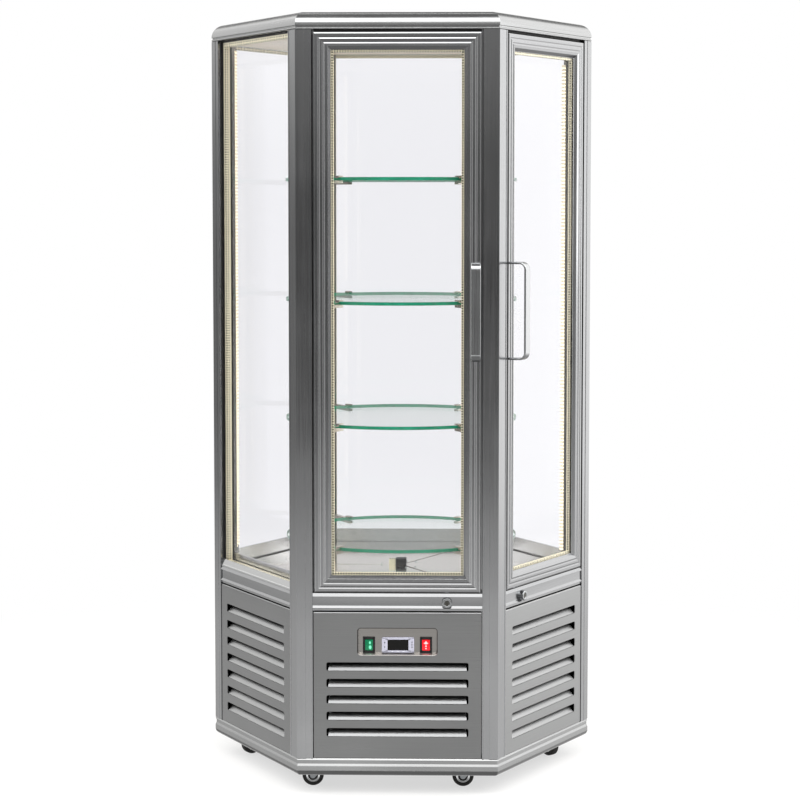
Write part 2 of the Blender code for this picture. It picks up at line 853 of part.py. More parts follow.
def rocker():
    """A rocker about its own pivot: two facets that dip towards its middle."""
    half = rocker_length / 2
    face = -rocker_rise - rocker_pivot
    profile = [(face, -half), (face + rocker_dip, 0), (face, half), (face + rocker_heel, half),
               (rocker_heel, half / 2), (rocker_heel, -half / 2), (face + rocker_heel, -half)]
    return extruded(profile, "X", -rocker_width / 2, rocker_width / 2)


for name, side, lens in (("green_rocker", -1, green_lens), ("red_rocker", 1, red_lens)):
    axle = empty(f"{name}_axis", faces["front"],
                 at(side * switch_side, pocket_floor + rocker_pivot, device_z))
    axle.rotation_euler.x = rocker_tilt
    piece(name, rocker(), lens, axle)


# Doors: built for a door hung on its left, and mirrored for the one hung on its right
def door_profile():
    deep = ridge_relief
    return [
        (0, 0), (outer_ridge, 0), (outer_ridge + ridge_slope, deep),
        (middle_ridge_start - ridge_slope, deep), (middle_ridge_start, 0), (middle_ridge_end, 0),
        (middle_ridge_end + ridge_slope, deep), (inner_ridge_start - ridge_slope, deep),
        (inner_ridge_start, 0), (inner_ridge_end, 0), (stile_width, bevel_fall),
        (stile_width, stile_lip), (stile_width - stile_rebate, stile_lip),
        (stile_width - stile_rebate, door_thickness), (0, door_thickness),
    ]


def pivot_pin(low, high):
    return cylinder(pin_radius, at(-pivot_side, pivot_depth, low), at(-pivot_side, pivot_depth, high), 16)


def bow_handle():
    """A flat strip bent into a bow, its two ends standing on the stile."""
    half = handle_length / 2
    inner = handle_bend - handle_strip
    turns = [math.radians(turn) for turn in range(0, 91, 18)]

    def corner(radius, side):
        """One bend, from the foot's end of the strip to its long stretch."""
        y = handle_bend - handle_reach
        z = side * (half - handle_bend)
        return [(y - radius * math.sin(a), z + side * radius * math.cos(a)) for a in turns]

    outline = [(-seat_gap, half), *corner(handle_bend, 1), *reversed(corner(handle_bend, -1)),
               (-seat_gap, -half), (-seat_gap, -half + handle_strip), *corner(inner, -1),
               *reversed(corner(inner, 1)), (-seat_gap, half - handle_strip)]
    middle = crossbar_top + handle_height
    along = door_half - handle_inset
    section = [(depth - apothem, z + middle) for depth, z in outline]
    return extruded(section, "X", along - handle_width / 2, along + handle_width / 2)


def door_pieces():
    frame = carved(mitred_frame(door_half, door_bottom, door_top, door_profile()), added=[
        pivot_pin(crossbar_top - pin_reach, door_bottom + pin_root),
        pivot_pin(door_top - pin_root, rim_bottom + pin_reach)])
    inset = stile_width - stile_rebate + seat_gap
    glass = double_pane(door_half - inset, stile_lip + seat_gap, door_glass_thickness,
                        door_pane_sheet, door_bottom + inset, door_top - inset)
    back = door_thickness + seat_gap
    seal_end = gasket_inset + gasket_width
    seal = mitred_frame(door_half, door_bottom, door_top, [
        (gasket_inset, back), (seal_end, back), (seal_end, back + gasket_thickness),
        (gasket_inset, back + gasket_thickness)])
    return {"frame": (frame, satin), "glass": (glass, clear_glass), "gasket": (seal, rubber),
            "handle": (bow_handle(), chrome)}


def lock_rotor(side):
    """The turning core of a lock, with its keyway."""
    near = at(side * lock_side, lock_rotor_recess - lock_boss_reach, lock_z)
    rotor = cylinder(lock_rotor_radius, near, at(side * lock_side, lock_rotor_length - seat_gap, lock_z))
    keyway = box(near - Vector((lock_key_width / 2, overrun, lock_key_height / 2)),
                 near + Vector((lock_key_width / 2, lock_key_depth, lock_key_height / 2)))
    return carved(rotor, cut=[keyway]), near


for name, side in hinge_sides.items():
    axis_place = at(side * pivot_side, pivot_depth, door_bottom)
    hinge = empty(f"{name}_door_hinge", faces[name], axis_place)
    for part_name, (volume, surface) in door_pieces().items():
        if side > 0:
            volume = mirrored(volume)
        piece(f"{name}_door_{part_name}", moved(volume, -axis_place), surface, hinge)
    core, core_place = lock_rotor(-side)
    piece(f"{name}_lock_cylinder", core, chrome, faces[name], core_place)


# Round shelves
shelf_levels = [crossbar_top + first_shelf + step * shelf_pitch for step in range(len(shelf_names))]
for name, level in zip(shelf_names, shelf_levels):
    centre = Vector((0, 0, level))
    disc = cylinder(shelf_radius, centre, centre + Vector((0, 0, shelf_thickness)), 60)
    piece(name, disc, green_glass, cabinet, centre, smooth=30)

# Uprights nested in the inner corners of four posts, each with a clip for every shelf
upright_back = side_length - (post_depth + seat_gap) / cos30
upright_edge = upright_back - upright_width / 2 * tan30
upright_front = upright_edge - upright_thickness


def clip(level):
    """A clip and its arm, reaching towards a post at -Y."""
    rim = shelf_radius + seat_gap
    under = level - seat_gap
    over = level + shelf_thickness + seat_gap
    root = upright_front + overlap
    outline = [
        (rim - clip_grip, under - clip_foot), (root, under - clip_foot), (root, under + arm_rise),
        (rim + clip_wall, under + arm_rise), (rim + clip_wall, over + clip_tab),
        (rim - clip_grip, over + clip_tab), (rim - clip_grip, over), (rim, over), (rim, under),
        (rim - clip_grip, under),
    ]
    return extruded([(-reach, z) for reach, z in outline], "X", -clip_width / 2, clip_width / 2)


def shelf_support():
    half = upright_width / 2
    section = [(-half, -upright_edge), (0, -upright_back), (half, -upright_edge),
               (half, -upright_front), (-half, -upright_front)]
    upright = extruded(section, "Z", crossbar_top + upright_end_gap,
                       post_head - ceiling_thickness - upright_end_gap)
    return carved(upright, added=[clip(level) for level in shelf_levels])


for name, turn in (("front_left", 330), ("front_right", 30), ("rear_right", 150), ("rear_left", 210)):
    piece(f"{name}_shelf_support", moved(shelf_support(), turn=math.radians(turn)), polished, cabinet)

# Chamber floor on short feet, over the flange of the evaporator tub
tub_edge = inner_face + belt_width + seat_gap
flange_top = belt_top
deck_corner = (apothem - inner_face - deck_slit) / cos30
deck = hexagon_plate(inner_face + deck_slit, crossbar_top - deck_thickness, crossbar_top)
deck_parts = [box((-cover_size / 2, -cover_size / 2, crossbar_top - deck_thickness / 2),
                  (cover_size / 2, cover_size / 2, crossbar_top + cover_height))]
for step in range(6):
    turn = math.radians(60 * step)
    foot = Vector((math.cos(turn), math.sin(turn), 0)) * deck_corner * deck_foot_share
    deck_parts.append(cylinder(deck_foot_radius, foot + Vector((0, 0, flange_top + seat_gap)),
                               foot + Vector((0, 0, crossbar_top - deck_thickness / 2)), 12))
piece("chamber_deck", carved(deck, added=deck_parts), polished, cabinet)

tub_low = flange_top - tub_depth
half_x = tub_width / 2
half_y = tub_length / 2
flange = hexagon_plate(tub_edge, flange_top - tub_flange_thickness, flange_top)
shell = box((-half_x, -half_y, tub_low), (half_x, half_y, flange_top - tub_flange_thickness / 2))
hollow = box((-half_x + tub_wall, -half_y + tub_wall, tub_low + tub_wall),
             (half_x - tub_wall, half_y - tub_wall, flange_top + overrun))
tub_floor = tub_low + tub_wall
piece("evaporator_tub", carved(flange, added=[shell], cut=[hollow]), white_moulding, cabinet)


# Castors
def wheel_profile():
    """Half of a wheel's section, mirrored: a flat side and a tyre with eased edges."""
    half = wheel_width / 2
    side = [(wheel_bore, half), (wheel_radius - half / 4, half), (wheel_radius, half / 2)]
    return [(radius, -height) for radius, height in reversed(side)] + side


def fork():
    """A swivel fork about its own vertical axis, with the wheel trailing towards +X."""
    crown_top = castor_height - castor_plate_thickness - seat_gap
    crown = cylinder(castor_crown_radius, (0, 0, crown_top - castor_crown_thickness),
                     (0, 0, crown_top), 20)
    inner = wheel_width / 2 + fork_gap
    outer = inner + fork_thickness
    shoulder = math.sqrt(castor_crown_radius ** 2 - outer ** 2)
    outline = [(castor_trail + fork_eye * math.cos(math.radians(turn)),
                wheel_radius + fork_eye * math.sin(math.radians(turn)))
               for turn in range(-150, 31, 36)]
    outline += [(shoulder, crown_top - overlap), (-shoulder, crown_top - overlap)]
    parts = [cylinder(axle_radius, (castor_trail, -outer, wheel_radius),
                      (castor_trail, outer, wheel_radius), 12)]
    for side in (-1, 1):
        parts.append(extruded(outline, "Y", side * inner, side * outer))
        parts.append(cylinder(axle_head_radius,
                              (castor_trail, side * (outer - fork_thickness / 2), wheel_radius),
                              (castor_trail, side * (outer + axle_head), wheel_radius), 6))
    return carved(crown, added=parts)


for name, place, trail in castors:
    swivel = empty(f"castor_swivel_{name}", cabinet, castor_spots[name], math.radians(trail))
    piece(f"castor_fork_{name}", fork(), zinc_plated, swivel)
    axle_place = Vector((castor_trail, 0, wheel_radius))
    wheel = moved(turned(wheel_profile(), 20, (0, 1, 0)), axle_place)
    piece(f"castor_wheel_{name}", wheel, rubber, swivel, axle_place, smooth=40)


# Finned coil with the strap and the motor of its fan in front of it, all along Y
def coil(width, depth, height):
    """A block with gaps between its fins from both sides; its front is at y = 0."""
    count = round(width / fin_pitch)
    pitch = width / count
    cut = depth * fin_cut_share / 2
    front = []
    for step in range(count):
        start = -width / 2 + step * pitch
        fin_end = start + pitch * (1 - fin_gap_share)
        front += [(start, 0), (fin_end, 0)]
        if step < count - 1:
            front += [(fin_end, cut), (start + pitch, cut)]
    back = [(x, depth - y) for x, y in reversed(front)]
    return extruded(front + back, "Z", 0, height)


def fan_stand(width, height, size):
    """The strap across the coil's front, with the fan's motor and shaft."""
    middle = height / 2
    hub_front = -2 * fan_clearance - fan_hub_length * size
    motor_front = hub_front - fan_clearance
    back = motor_front - fan_motor_length * size / 2
    half = strap_width * size / 2
    strap = box((-width / 2, back, middle - half), (width / 2, back + strap_thickness, middle + half))
    parts = [cylinder(fan_motor_radius * size, (0, motor_front, middle),
                      (0, motor_front - fan_motor_length * size, middle), 20),
             cylinder(fan_shaft_radius, (0, back, middle), (0, -2 * fan_clearance, middle), 12), strap]
    for side in (-1, 1):
        outer = side * width / 2
        low, high = sorted((outer, outer - side * strap_thickness))
        parts.append(box((low, back, middle - half), (high, overlap, middle + half)))
    return parts


def fan_wheel(size):
    """A hub with pitched blades about its own middle, turning on the motor's shaft."""
    half = fan_hub_length * size / 2
    hub = cylinder(fan_hub_radius * size, (0, -half, 0), (0, half, 0), 20)
    bore = cylinder(fan_shaft_radius + seat_gap, (0, -half - overrun, 0), (0, half + overrun, 0), 12)
    vanes = []
    for step in range(fan_blades):
        wide = fan_blade_width * size / 2
        thick = fan_blade_thickness / 2
        vane = box(((fan_hub_radius - fan_shaft_radius) * size, -thick, -wide),
                   (fan_radius * size, thick, wide))
        pitch = Matrix.Rotation(fan_blade_pitch, 4, "X")
        spin = Matrix.Rotation(math.tau * step / fan_blades, 4, "Y")
        bmesh.ops.transform(vane, matrix=spin @ pitch, verts=vane.verts)
        vanes.append(vane)
    return carved(hub, added=vanes, cut=[bore])


def fan(name, origin, height, size):
    middle = -2 * fan_clearance - fan_hub_length * size / 2
    carrier = empty(f"{name}_axis", cabinet, origin + Vector((0, middle, height / 2)))
    piece(f"{name}_blade", fan_wheel(size), black_plastic, carrier)


# Condenser, with the liquid pipe that leads up to the tub
condenser_place = Vector((condenser_x, condenser_y, floor_top + seat_gap))
coil_side = Vector((-condenser_width / 2, condenser_depth / 2, 0))
riser = Vector((-half_x + tub_wall, condenser_y - condenser_depth, tub_low - seat_gap)) - condenser_place
liquid_start = coil_side + Vector((overlap, 0, condenser_height * 0.25))
bend = Vector((pipe_radius * 6, 0, 0))
liquid_route = [liquid_start, liquid_start - bend, liquid_start - 2 * bend,
                riser - Vector((0, 0, condenser_height / 2)), riser - Vector((0, 0, pipe_radius * 5)),
                riser]
condenser = carved(coil(condenser_width, condenser_depth, condenser_height),
                   added=fan_stand(condenser_width, condenser_height, 1.0)
                   + [tube(liquid_route, pipe_radius)])
piece("condenser", moved(condenser, condenser_place), satin, cabinet)
fan("condenser_fan", condenser_place, condenser_height, 1.0)

evaporator_place = Vector((0, evaporator_y, tub_floor + seat_gap))
evaporator = carved(coil(evaporator_width, evaporator_depth, evaporator_height),
                    added=fan_stand(evaporator_width, evaporator_height, cold_fan_share))
piece("evaporator", moved(evaporator, evaporator_place), satin, cabinet)
fan("evaporator_fan", evaporator_place, evaporator_height, cold_fan_share)

# Compressor on its rubber feet, with the pipes brazed to it
mount_low = mount_foot + 2 * seat_gap
shell_low = mount_low + mount_thickness / 2
shell_high = shell_low + compressor_height
dome = [(compressor_radius * math.cos(math.radians(turn)),
         shell_high - compressor_dome * (1 - math.sin(math.radians(turn)))) for turn in range(0, 90, 18)]
casing = turned([(0.0, shell_low), (compressor_radius, shell_low), *dome, (0.0, shell_high)], 24)
unit = [box((-mount_width / 2, -mount_length / 2, mount_low),
            (mount_width / 2, mount_length / 2, mount_low + mount_thickness))]
for x_side in (-1, 1):
    for y_side in (-1, 1):
        spot = Vector((x_side * (mount_width / 2 - mount_foot_inset),
                       y_side * (mount_length / 2 - mount_foot_inset), 0))
        unit.append(cylinder(mount_foot_radius, spot + Vector((0, 0, seat_gap)),
                             spot + Vector((0, 0, mount_low + overlap)), 12))
compressor_place = Vector((compressor_x, compressor_y, floor_top))
hot_start = Vector((compressor_radius - pipe_radius, 0, shell_low + compressor_height / 2))
hot_end = (condenser_place - compressor_place + coil_side
           + Vector((-seat_gap, 0, condenser_height * 0.8)))
hot_route = [hot_start, hot_start + bend, hot_start + bend + Vector((0, compressor_radius, 0)),
             hot_end - bend - Vector((0, compressor_radius, 0)), hot_end - bend, hot_end]
cold_start = Vector((0, 0, shell_high - pipe_radius))
cold_end = Vector((0, -compressor_radius, tub_low - seat_gap - floor_top))
cold_route = [cold_start, Vector((0, 0, cold_end.z - pipe_radius * 5)),
              cold_end - Vector((0, 0, pipe_radius * 5)), cold_end]
unit += [tube(hot_route, pipe_radius), tube(cold_route, pipe_radius)]
piece("compressor", moved(carved(casing, added=unit), compressor_place), black_enamel, cabinet)
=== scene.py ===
# Looks of the refrigerated cake display case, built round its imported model. Metres, +Z up.
# The sections follow the case as it is put together, from the floor up.

import math

import bmesh
import bpy
from mathutils import Matrix, Vector


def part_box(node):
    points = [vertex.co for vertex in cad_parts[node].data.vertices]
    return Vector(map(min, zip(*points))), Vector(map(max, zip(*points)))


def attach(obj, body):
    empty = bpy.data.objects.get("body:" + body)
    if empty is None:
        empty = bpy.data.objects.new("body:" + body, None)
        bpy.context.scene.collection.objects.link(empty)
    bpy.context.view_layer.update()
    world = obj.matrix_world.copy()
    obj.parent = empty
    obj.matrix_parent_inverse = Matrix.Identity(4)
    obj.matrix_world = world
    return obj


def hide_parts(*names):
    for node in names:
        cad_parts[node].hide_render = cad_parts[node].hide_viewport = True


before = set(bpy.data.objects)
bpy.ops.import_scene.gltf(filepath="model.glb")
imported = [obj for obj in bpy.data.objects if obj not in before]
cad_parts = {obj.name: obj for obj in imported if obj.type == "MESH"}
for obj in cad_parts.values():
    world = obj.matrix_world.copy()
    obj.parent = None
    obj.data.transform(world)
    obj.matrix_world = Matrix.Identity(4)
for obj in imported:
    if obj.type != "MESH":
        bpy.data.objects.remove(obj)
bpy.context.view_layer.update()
scene = bpy.context.scene


# Camera: a long lens 1.37 m above the floor, a little to the right of the middle. It is tipped down
# four degrees, and the shift brings the whole case into the square frame.
cover_low, cover_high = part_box("top_cover")
centre_y = (cover_low.y + cover_high.y) / 2
eye_height = 1.3688
eye_distance = 5.3143            # from the cabinet's axis
eye_side = 0.1161
eye_turn = math.radians(1.283)
eye_fall = math.radians(4)
lens_share = 2180.1 / 800        # focal length over the width of the frame
sensor_width = 36.0
lens_shift = -0.0621

camera_data = bpy.data.cameras.new("camera")
camera_data.sensor_width = sensor_width
camera_data.lens = sensor_width * lens_share
camera_data.shift_y = lens_shift
camera = bpy.data.objects.new("camera", camera_data)
camera.location = (eye_side, centre_y - eye_distance, eye_height)
camera.rotation_euler = (math.radians(90) - eye_fall, 0, eye_turn)
scene.collection.objects.link(camera)
scene.camera = camera


# Studio: a white sweep under and behind the case, a light tent that is grey on the camera's side
# and brightest at the right, and two soft boxes. The sweep keeps the case's shadow.
def linear(code):
    """An sRGB hex colour as linear values."""
    channels = [int(code[start:start + 2], 16) / 255 for start in (1, 3, 5)]
    return (*(c / 12.92 if c <= 0.04045 else ((c + 0.055) / 1.055) ** 2.4 for c in channels), 1.0)


def add(tree, kind, inputs=None, **settings):
    """Adds a node with its settings. An input is a value, a socket to link to it, or a node, whose
    first socket in use is linked to it."""
    made = tree.nodes.new("ShaderNode" + kind)
    for name, value in settings.items():
        setattr(made, name, value)
    for name, value in (inputs or {}).items():
        if isinstance(value, bpy.types.Node):
            value = next(socket for socket in value.outputs if socket.enabled)
        if isinstance(value, bpy.types.NodeSocket):
            tree.links.new(value, made.inputs[name])
        else:
            made.inputs[name].default_value = value
    return made


def material(name):
    """A material with an empty node tree, and the tree."""
    made = bpy.data.materials.new(name)
    made.use_nodes = True
    made.node_tree.nodes.clear()
    return made, made.node_tree


def seen_white(tree):
    """1 for the camera's own rays and for those that passed through glass, 0 for all others."""
    ray = add(tree, "LightPath")
    return add(tree, "Math", {0: ray.outputs["Is Camera Ray"], 1: ray.outputs["Is Transmission Ray"]},
               operation="MAXIMUM")


scene.view_settings.view_transform = "Standard"
scene.cycles.transparent_max_bounces = 40    # a look through the case crosses up to 20 glass faces

tent = bpy.data.worlds.new("light_tent")
scene.world = tent
tent.use_nodes = True
tree = tent.node_tree
tree.nodes.clear()
direction = add(tree, "SeparateXYZ", {0: add(tree, "TexCoord").outputs["Generated"]})
side_light = {}
for name, side in (("left", -1), ("right", 1)):
    aside = add(tree, "Math", {0: direction.outputs["X"], 1: side}, operation="MULTIPLY")
    beside = add(tree, "Math", {0: direction.outputs["Y"], 1: 0.8, 2: aside}, operation="MULTIPLY_ADD")
    side_light[name] = add(tree, "MapRange", {"Value": beside, "From Min": 0.80,
                                              "From Max": 1.10}, interpolation_type="SMOOTHSTEP")
# Brightness in front, at the left and at the right, and the heights between which each level starts
tent_levels = (
    (0.28, 0.30, 0.50, None),            # the floor at the foot of the case
    (1.20, 0.82, 1.10, (-0.38, -0.28)),  # the sweep before it
    (0.10, 0.28, 1.80, (-0.20, -0.11)),  # eye level
    (0.50, 1.20, 1.80, (0.00, 0.12)),    # just above it
    (2.60, 2.00, 1.80, (0.38, 0.50)),    # the bright band overhead
    (0.25, 0.30, 0.60, (0.86, 0.94)),    # the dark top
)
tent_light = None
for front, left, right, start in tent_levels:
    level = add(tree, "Mix", {0: side_light["left"], 2: front, 3: left})
    level = add(tree, "Mix", {0: side_light["right"], 2: level, 3: right})
    if start:
        share = add(tree, "MapRange", {"Value": direction.outputs["Z"], "From Min": start[0],
                                       "From Max": start[1]}, interpolation_type="SMOOTHSTEP")
        level = add(tree, "Mix", {0: share, 2: tent_light, 3: level})
    tent_light = level
# A narrow strip light stands at each side of the camera and draws the ridges of the door stiles.
strip_level = 0.55
aside = add(tree, "Math", {0: direction.outputs["X"]}, operation="ABSOLUTE")
strip_start, strip_end = (
    add(tree, "MapRange", {"Value": aside, "From Min": low, "From Max": high, "To Max": strip_level},
        interpolation_type="SMOOTHSTEP") for low, high in ((0.60, 0.66), (0.76, 0.82)))
strip = add(tree, "Math", {0: strip_start, 1: strip_end}, operation="SUBTRACT")
in_front = add(tree, "Math", {0: direction.outputs["Y"], 1: 0.0}, operation="LESS_THAN")
tent_light = add(tree, "Math", {0: strip, 1: in_front, 2: tent_light}, operation="MULTIPLY_ADD")
# Behind the case the room is darker, which draws the edges of its rim.
behind = add(tree, "Math", {0: aside, 1: -0.7, 2: direction.outputs["Y"]}, operation="MULTIPLY_ADD")
to_behind = add(tree, "MapRange", {"Value": behind, "From Min": 0.38, "From Max": 0.58},
                interpolation_type="SMOOTHSTEP")
backdrop = add(tree, "MapRange", {"Value": direction.outputs["Z"], "From Min": 0.24, "From Max": 0.34,
                                  "To Min": 0.7, "To Max": 0.25}, interpolation_type="SMOOTHSTEP")
tent_light = add(tree, "Mix", {0: to_behind, 2: tent_light, 3: backdrop})
white_or_tent = add(tree, "MixShader", {
    0: seen_white(tree),
    1: add(tree, "Background", {"Color": linear("#fffefc"), "Strength": tent_light}),
    2: add(tree, "Background", {"Color": linear("#ffffff"), "Strength": 1.0}),
})
add(tree, "OutputWorld", {"Surface": white_or_tent})

# The sweep is painted board. Its own white fades in with distance, so that it meets the backdrop.
sweep_radius = 9.0
sweep_board, tree = material("painted_board")
from_case = add(tree, "VectorMath", {0: add(tree, "TexCoord").outputs["Object"]}, operation="LENGTH")
far_off = add(tree, "MapRange", {"Value": from_case, "From Min": 0.5, "From Max": 2.2,
                                 "To Min": 0.62, "To Max": 1.0}, interpolation_type="SMOOTHSTEP")
own_white = add(tree, "Math", {0: far_off, 1: seen_white(tree)}, operation="MULTIPLY")
paint = add(tree, "BsdfDiffuse", {"Color": linear("#f4f4f3")})
glow = add(tree, "Emission", {"Color": linear("#ffffff"), "Strength": 1.0})
board = add(tree, "MixShader", {0: own_white, 1: paint, 2: glow})
add(tree, "OutputMaterial", {"Surface": board})
bm = bmesh.new()
bmesh.ops.create_circle(bm, cap_ends=True, segments=96, radius=sweep_radius)
sweep_mesh = bpy.data.meshes.new("studio_sweep")
bm.to_mesh(sweep_mesh)
bm.free()
sweep_mesh.materials.append(sweep_board)
sweep = bpy.data.objects.new("studio_sweep", sweep_mesh)
sweep.visible_glossy = False
scene.collection.objects.link(sweep)

for name, place, target, size, power in (
    ("overhead_softbox", (0.0, -2.3, 3.8), (0.0, 0.0, 1.3), (3.2, 1.2), 34.0),
    ("right_softbox", (3.6, 0.3, 2.2), (0.0, 0.0, 0.9), (1.8, 2.4), 30.0),
):
    lamp = bpy.data.lights.new(name, "AREA")
    lamp.shape = "RECTANGLE"
    lamp.size, lamp.size_y = size
    lamp.energy = power
    box = bpy.data.objects.new(name, lamp)
    box.location = place
    box.rotation_euler = (Vector(target) - Vector(place)).to_track_quat("-Z", "Y").to_euler()
    box.visible_camera = False
    scene.collection.objects.link(box)


# Base tray and plinth: 1.5 mm brushed stainless steel, folded round the hexagon with two pressed
# beads and a foot rolled under. The castors' plates are bolted to its floor.
side_length = (cover_high.x - cover_low.x) / 2
apothem = side_length * math.sqrt(3) / 2
cos30 = math.cos(math.radians(30))
seat_gap = 0.0003                # between pieces that touch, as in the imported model
sheet = 0.0015


def brushed(name, colour, roughness, grain, depth):
    """Metal brushed one way. grain is how many brush lines there are per metre of X, Y and Z."""
    made, tree = material(name)
    place = add(tree, "TexCoord").outputs["Object"]
    along = add(tree, "Mapping", {"Vector": place, "Scale": grain})
    lines = add(tree, "TexNoise", {"Vector": along, "Scale": 1.0, "Detail": 4.0, "Roughness": 0.65})
    clouds = add(tree, "TexNoise", {"Vector": place, "Scale": 5.0, "Detail": 2.0})
    streaks = add(tree, "MapRange", {"Value": lines, "From Min": 0.3, "From Max": 0.7,
                                     "To Min": 0.90, "To Max": 1.05})
    tone = add(tree, "Mix", {0: 1.0, 6: linear(colour), 7: streaks}, data_type="RGBA",
               blend_type="MULTIPLY")
    worn = add(tree, "MapRange", {"Value": clouds, "From Min": 0.3, "From Max": 0.7,
                                  "To Min": roughness - 0.03, "To Max": roughness + 0.03})
    fine = add(tree, "MapRange", {"Value": lines, "From Min": 0.3, "From Max": 0.7,
                                  "To Min": -0.05, "To Max": 0.05})
    shine = add(tree, "Math", {0: worn, 1: fine}, operation="ADD")
    bump = add(tree, "Bump", {"Height": lines, "Strength": 0.25, "Distance": depth})
    metal = add(tree, "BsdfPrincipled", {"Base Color": tone, "Metallic": 1.0,
                                         "Roughness": shine, "Normal": bump})
    add(tree, "OutputMaterial", {"Surface": metal})
    return made


# Real brush lines are 0.1 mm apart: they are drawn at 0.6 mm to show at all. Lines along the sheet
# give soft streaks and a highlight that is drawn out across them.
line_pitch = 0.0006
along_line = 4.0                 # changes per metre along a brush line
level_grain = (along_line, along_line, 1 / line_pitch)
stainless = brushed("brushed_stainless_304", "#a3a4a5", 0.22, level_grain, 0.00003)


def heights(node):
    """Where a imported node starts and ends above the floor."""
    return [corner.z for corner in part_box(node)]


def finished(bm):
    """Merges the points that coincide and turns the faces outwards."""
    bmesh.ops.remove_doubles(bm, verts=bm.verts, dist=seat_gap / 10)
    bmesh.ops.recalc_face_normals(bm, faces=bm.faces)
    return bm


def moved(bm, offset):
    bmesh.ops.translate(bm, verts=bm.verts, vec=offset)
    return bm


def spun(points, axis, steps, closed=True):
    """A section's points turned once round an axis through the origin, in so many steps."""
    bm = bmesh.new()
    line = [bm.verts.new(point) for point in points]
    edges = [bm.edges.new(pair) for pair in zip(line, line[1:] + line[:1] if closed else line[1:])]
    bmesh.ops.spin(bm, geom=line + edges, cent=(0, 0, 0), axis=axis, angle=math.tau, steps=steps,
                   use_merge=True)
    return finished(bm)


def hexagon_ring(profile):
    """An open section spun to a mitred hexagon. Its points are (depth inside the face, height)."""
    bm = spun([((apothem - depth) / cos30, 0, z) for depth, z in profile], (0, 0, 1), 6, closed=False)
    if sum(f.normal.xy.dot(f.calc_center_median().xy) for f in bm.faces) < 0:
        bmesh.ops.reverse_faces(bm, faces=bm.faces)
    return moved(bm, (0, centre_y, 0))


def roll(radius, middle_z, upwards, steps=14):
    """Points of a quarter round from the face inwards."""
    turns = [math.radians(90) * step / steps for step in range(steps + 1)]
    return [(radius * (1 - math.cos(a)), middle_z + upwards * radius * math.sin(a)) for a in turns]


def add_wall(made):
    """Gives a folded skin the thickness of its sheet, inwards."""
    skin = made.modifiers.new("wall", "SOLIDIFY")
    skin.thickness = sheet
    skin.offset = -1
    skin.use_even_offset = True


def apply_modifiers(made):
    bpy.context.view_layer.update()
    rough = made.data
    seen = made.evaluated_get(bpy.context.evaluated_depsgraph_get())
    made.data = bpy.data.meshes.new_from_object(seen)
    made.modifiers.clear()
    bpy.data.meshes.remove(rough)


def piece(name, bm, finishes, body, stands_for=(), walled=False, angle=38):
    """Makes a bmesh a piece that rides on its body. Edges turn sharp at the angle, in degrees."""
    made = bpy.data.objects.new(name, bpy.data.meshes.new(name))
    bm.to_mesh(made.data)
    bm.free()
    for one in finishes if isinstance(finishes, list) else [finishes]:
        made.data.materials.append(one)
    scene.collection.objects.link(made)
    if walled:
        add_wall(made)
        apply_modifiers(made)
    made.data.shade_smooth()
    made.data.set_sharp_from_angle(angle=math.radians(angle))
    flats = made.modifiers.new("flats", "WEIGHTED_NORMAL")
    flats.keep_sharp = True
    apply_modifiers(made)
    made.data.name = name
    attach(made, body)
    if stands_for:
        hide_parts(*stands_for)


tray_foot, plinth_top = heights("base_tray")
foot_roll = 0.014
foot_return = 0.024
upper_bead = 0.0046
lower_bead = 0.0060
bead_gap = 0.0080
bead_rise = 0.0022
lower_bead_top = plinth_top - upper_bead - bead_gap
floor_low = tray_foot + 0.023
floor_high = floor_low + 0.002


def leaning_bead(high, height, rise):
    """A bead whose upper face leans back: points from its top down, as (depth, height)."""
    return [(rise, high), (rise - 0.0003, high - 0.0005), (0.0003, high - height + 0.0016),
            (0, high - height + 0.0009), (0.0002, high - height + 0.0004), (0.0010, high - height + 0.0001)]


plinth_section = [
    (foot_return, plinth_top), *leaning_bead(plinth_top, upper_bead, bead_rise),
    (bead_rise, plinth_top - upper_bead), (bead_rise, lower_bead_top + 0.0002),
    *leaning_bead(lower_bead_top, lower_bead, bead_rise)[:4],
    *roll(foot_roll, tray_foot + foot_roll, -1), (foot_return, tray_foot),
]
piece("plinth", hexagon_ring(plinth_section), stainless, "cabinet",
      ["base_tray"], walled=True, angle=15)
tray_floor = hexagon_ring([(sheet, floor_low), (sheet, floor_high)])
bmesh.ops.holes_fill(tray_floor, edges=tray_floor.edges)
piece("tray_floor", finished(tray_floor), stainless, "cabinet")


# Castors: pressed zinc-plated forks on swivel plates, and 50 mm wheels, each a black rubber tyre on a
# polypropylene centre with a plated disc and hub on both sides. The plates are bolted up to the tray
# and the axles are riveted over.
def grained(name, dark, light, roughness, grain, detail=2.0, spread=0.06, relief=0.15, depth=0.0001,
            more=None):
    """Two close tones on a fine grain, so many grains to the metre. Its shine and relief may follow it."""
    made, tree = material(name)
    place = add(tree, "TexCoord").outputs["Object"]
    spots = add(tree, "TexNoise", {"Vector": place, "Scale": grain, "Detail": detail})
    tone = add(tree, "Mix", {0: spots, 6: linear(dark), 7: linear(light)}, data_type="RGBA")
    surface = {"Base Color": tone, "Roughness": roughness, **(more or {})}
    if spread:
        shine = add(tree, "MapRange", {"Value": spots, "To Min": roughness - spread,
                                       "To Max": roughness + spread})
        surface["Roughness"] = shine
    if relief:
        bump = add(tree, "Bump", {"Height": spots, "Strength": relief, "Distance": depth})
        surface["Normal"] = bump
    body = add(tree, "BsdfPrincipled", surface)
    add(tree, "OutputMaterial", {"Surface": body})
    return made


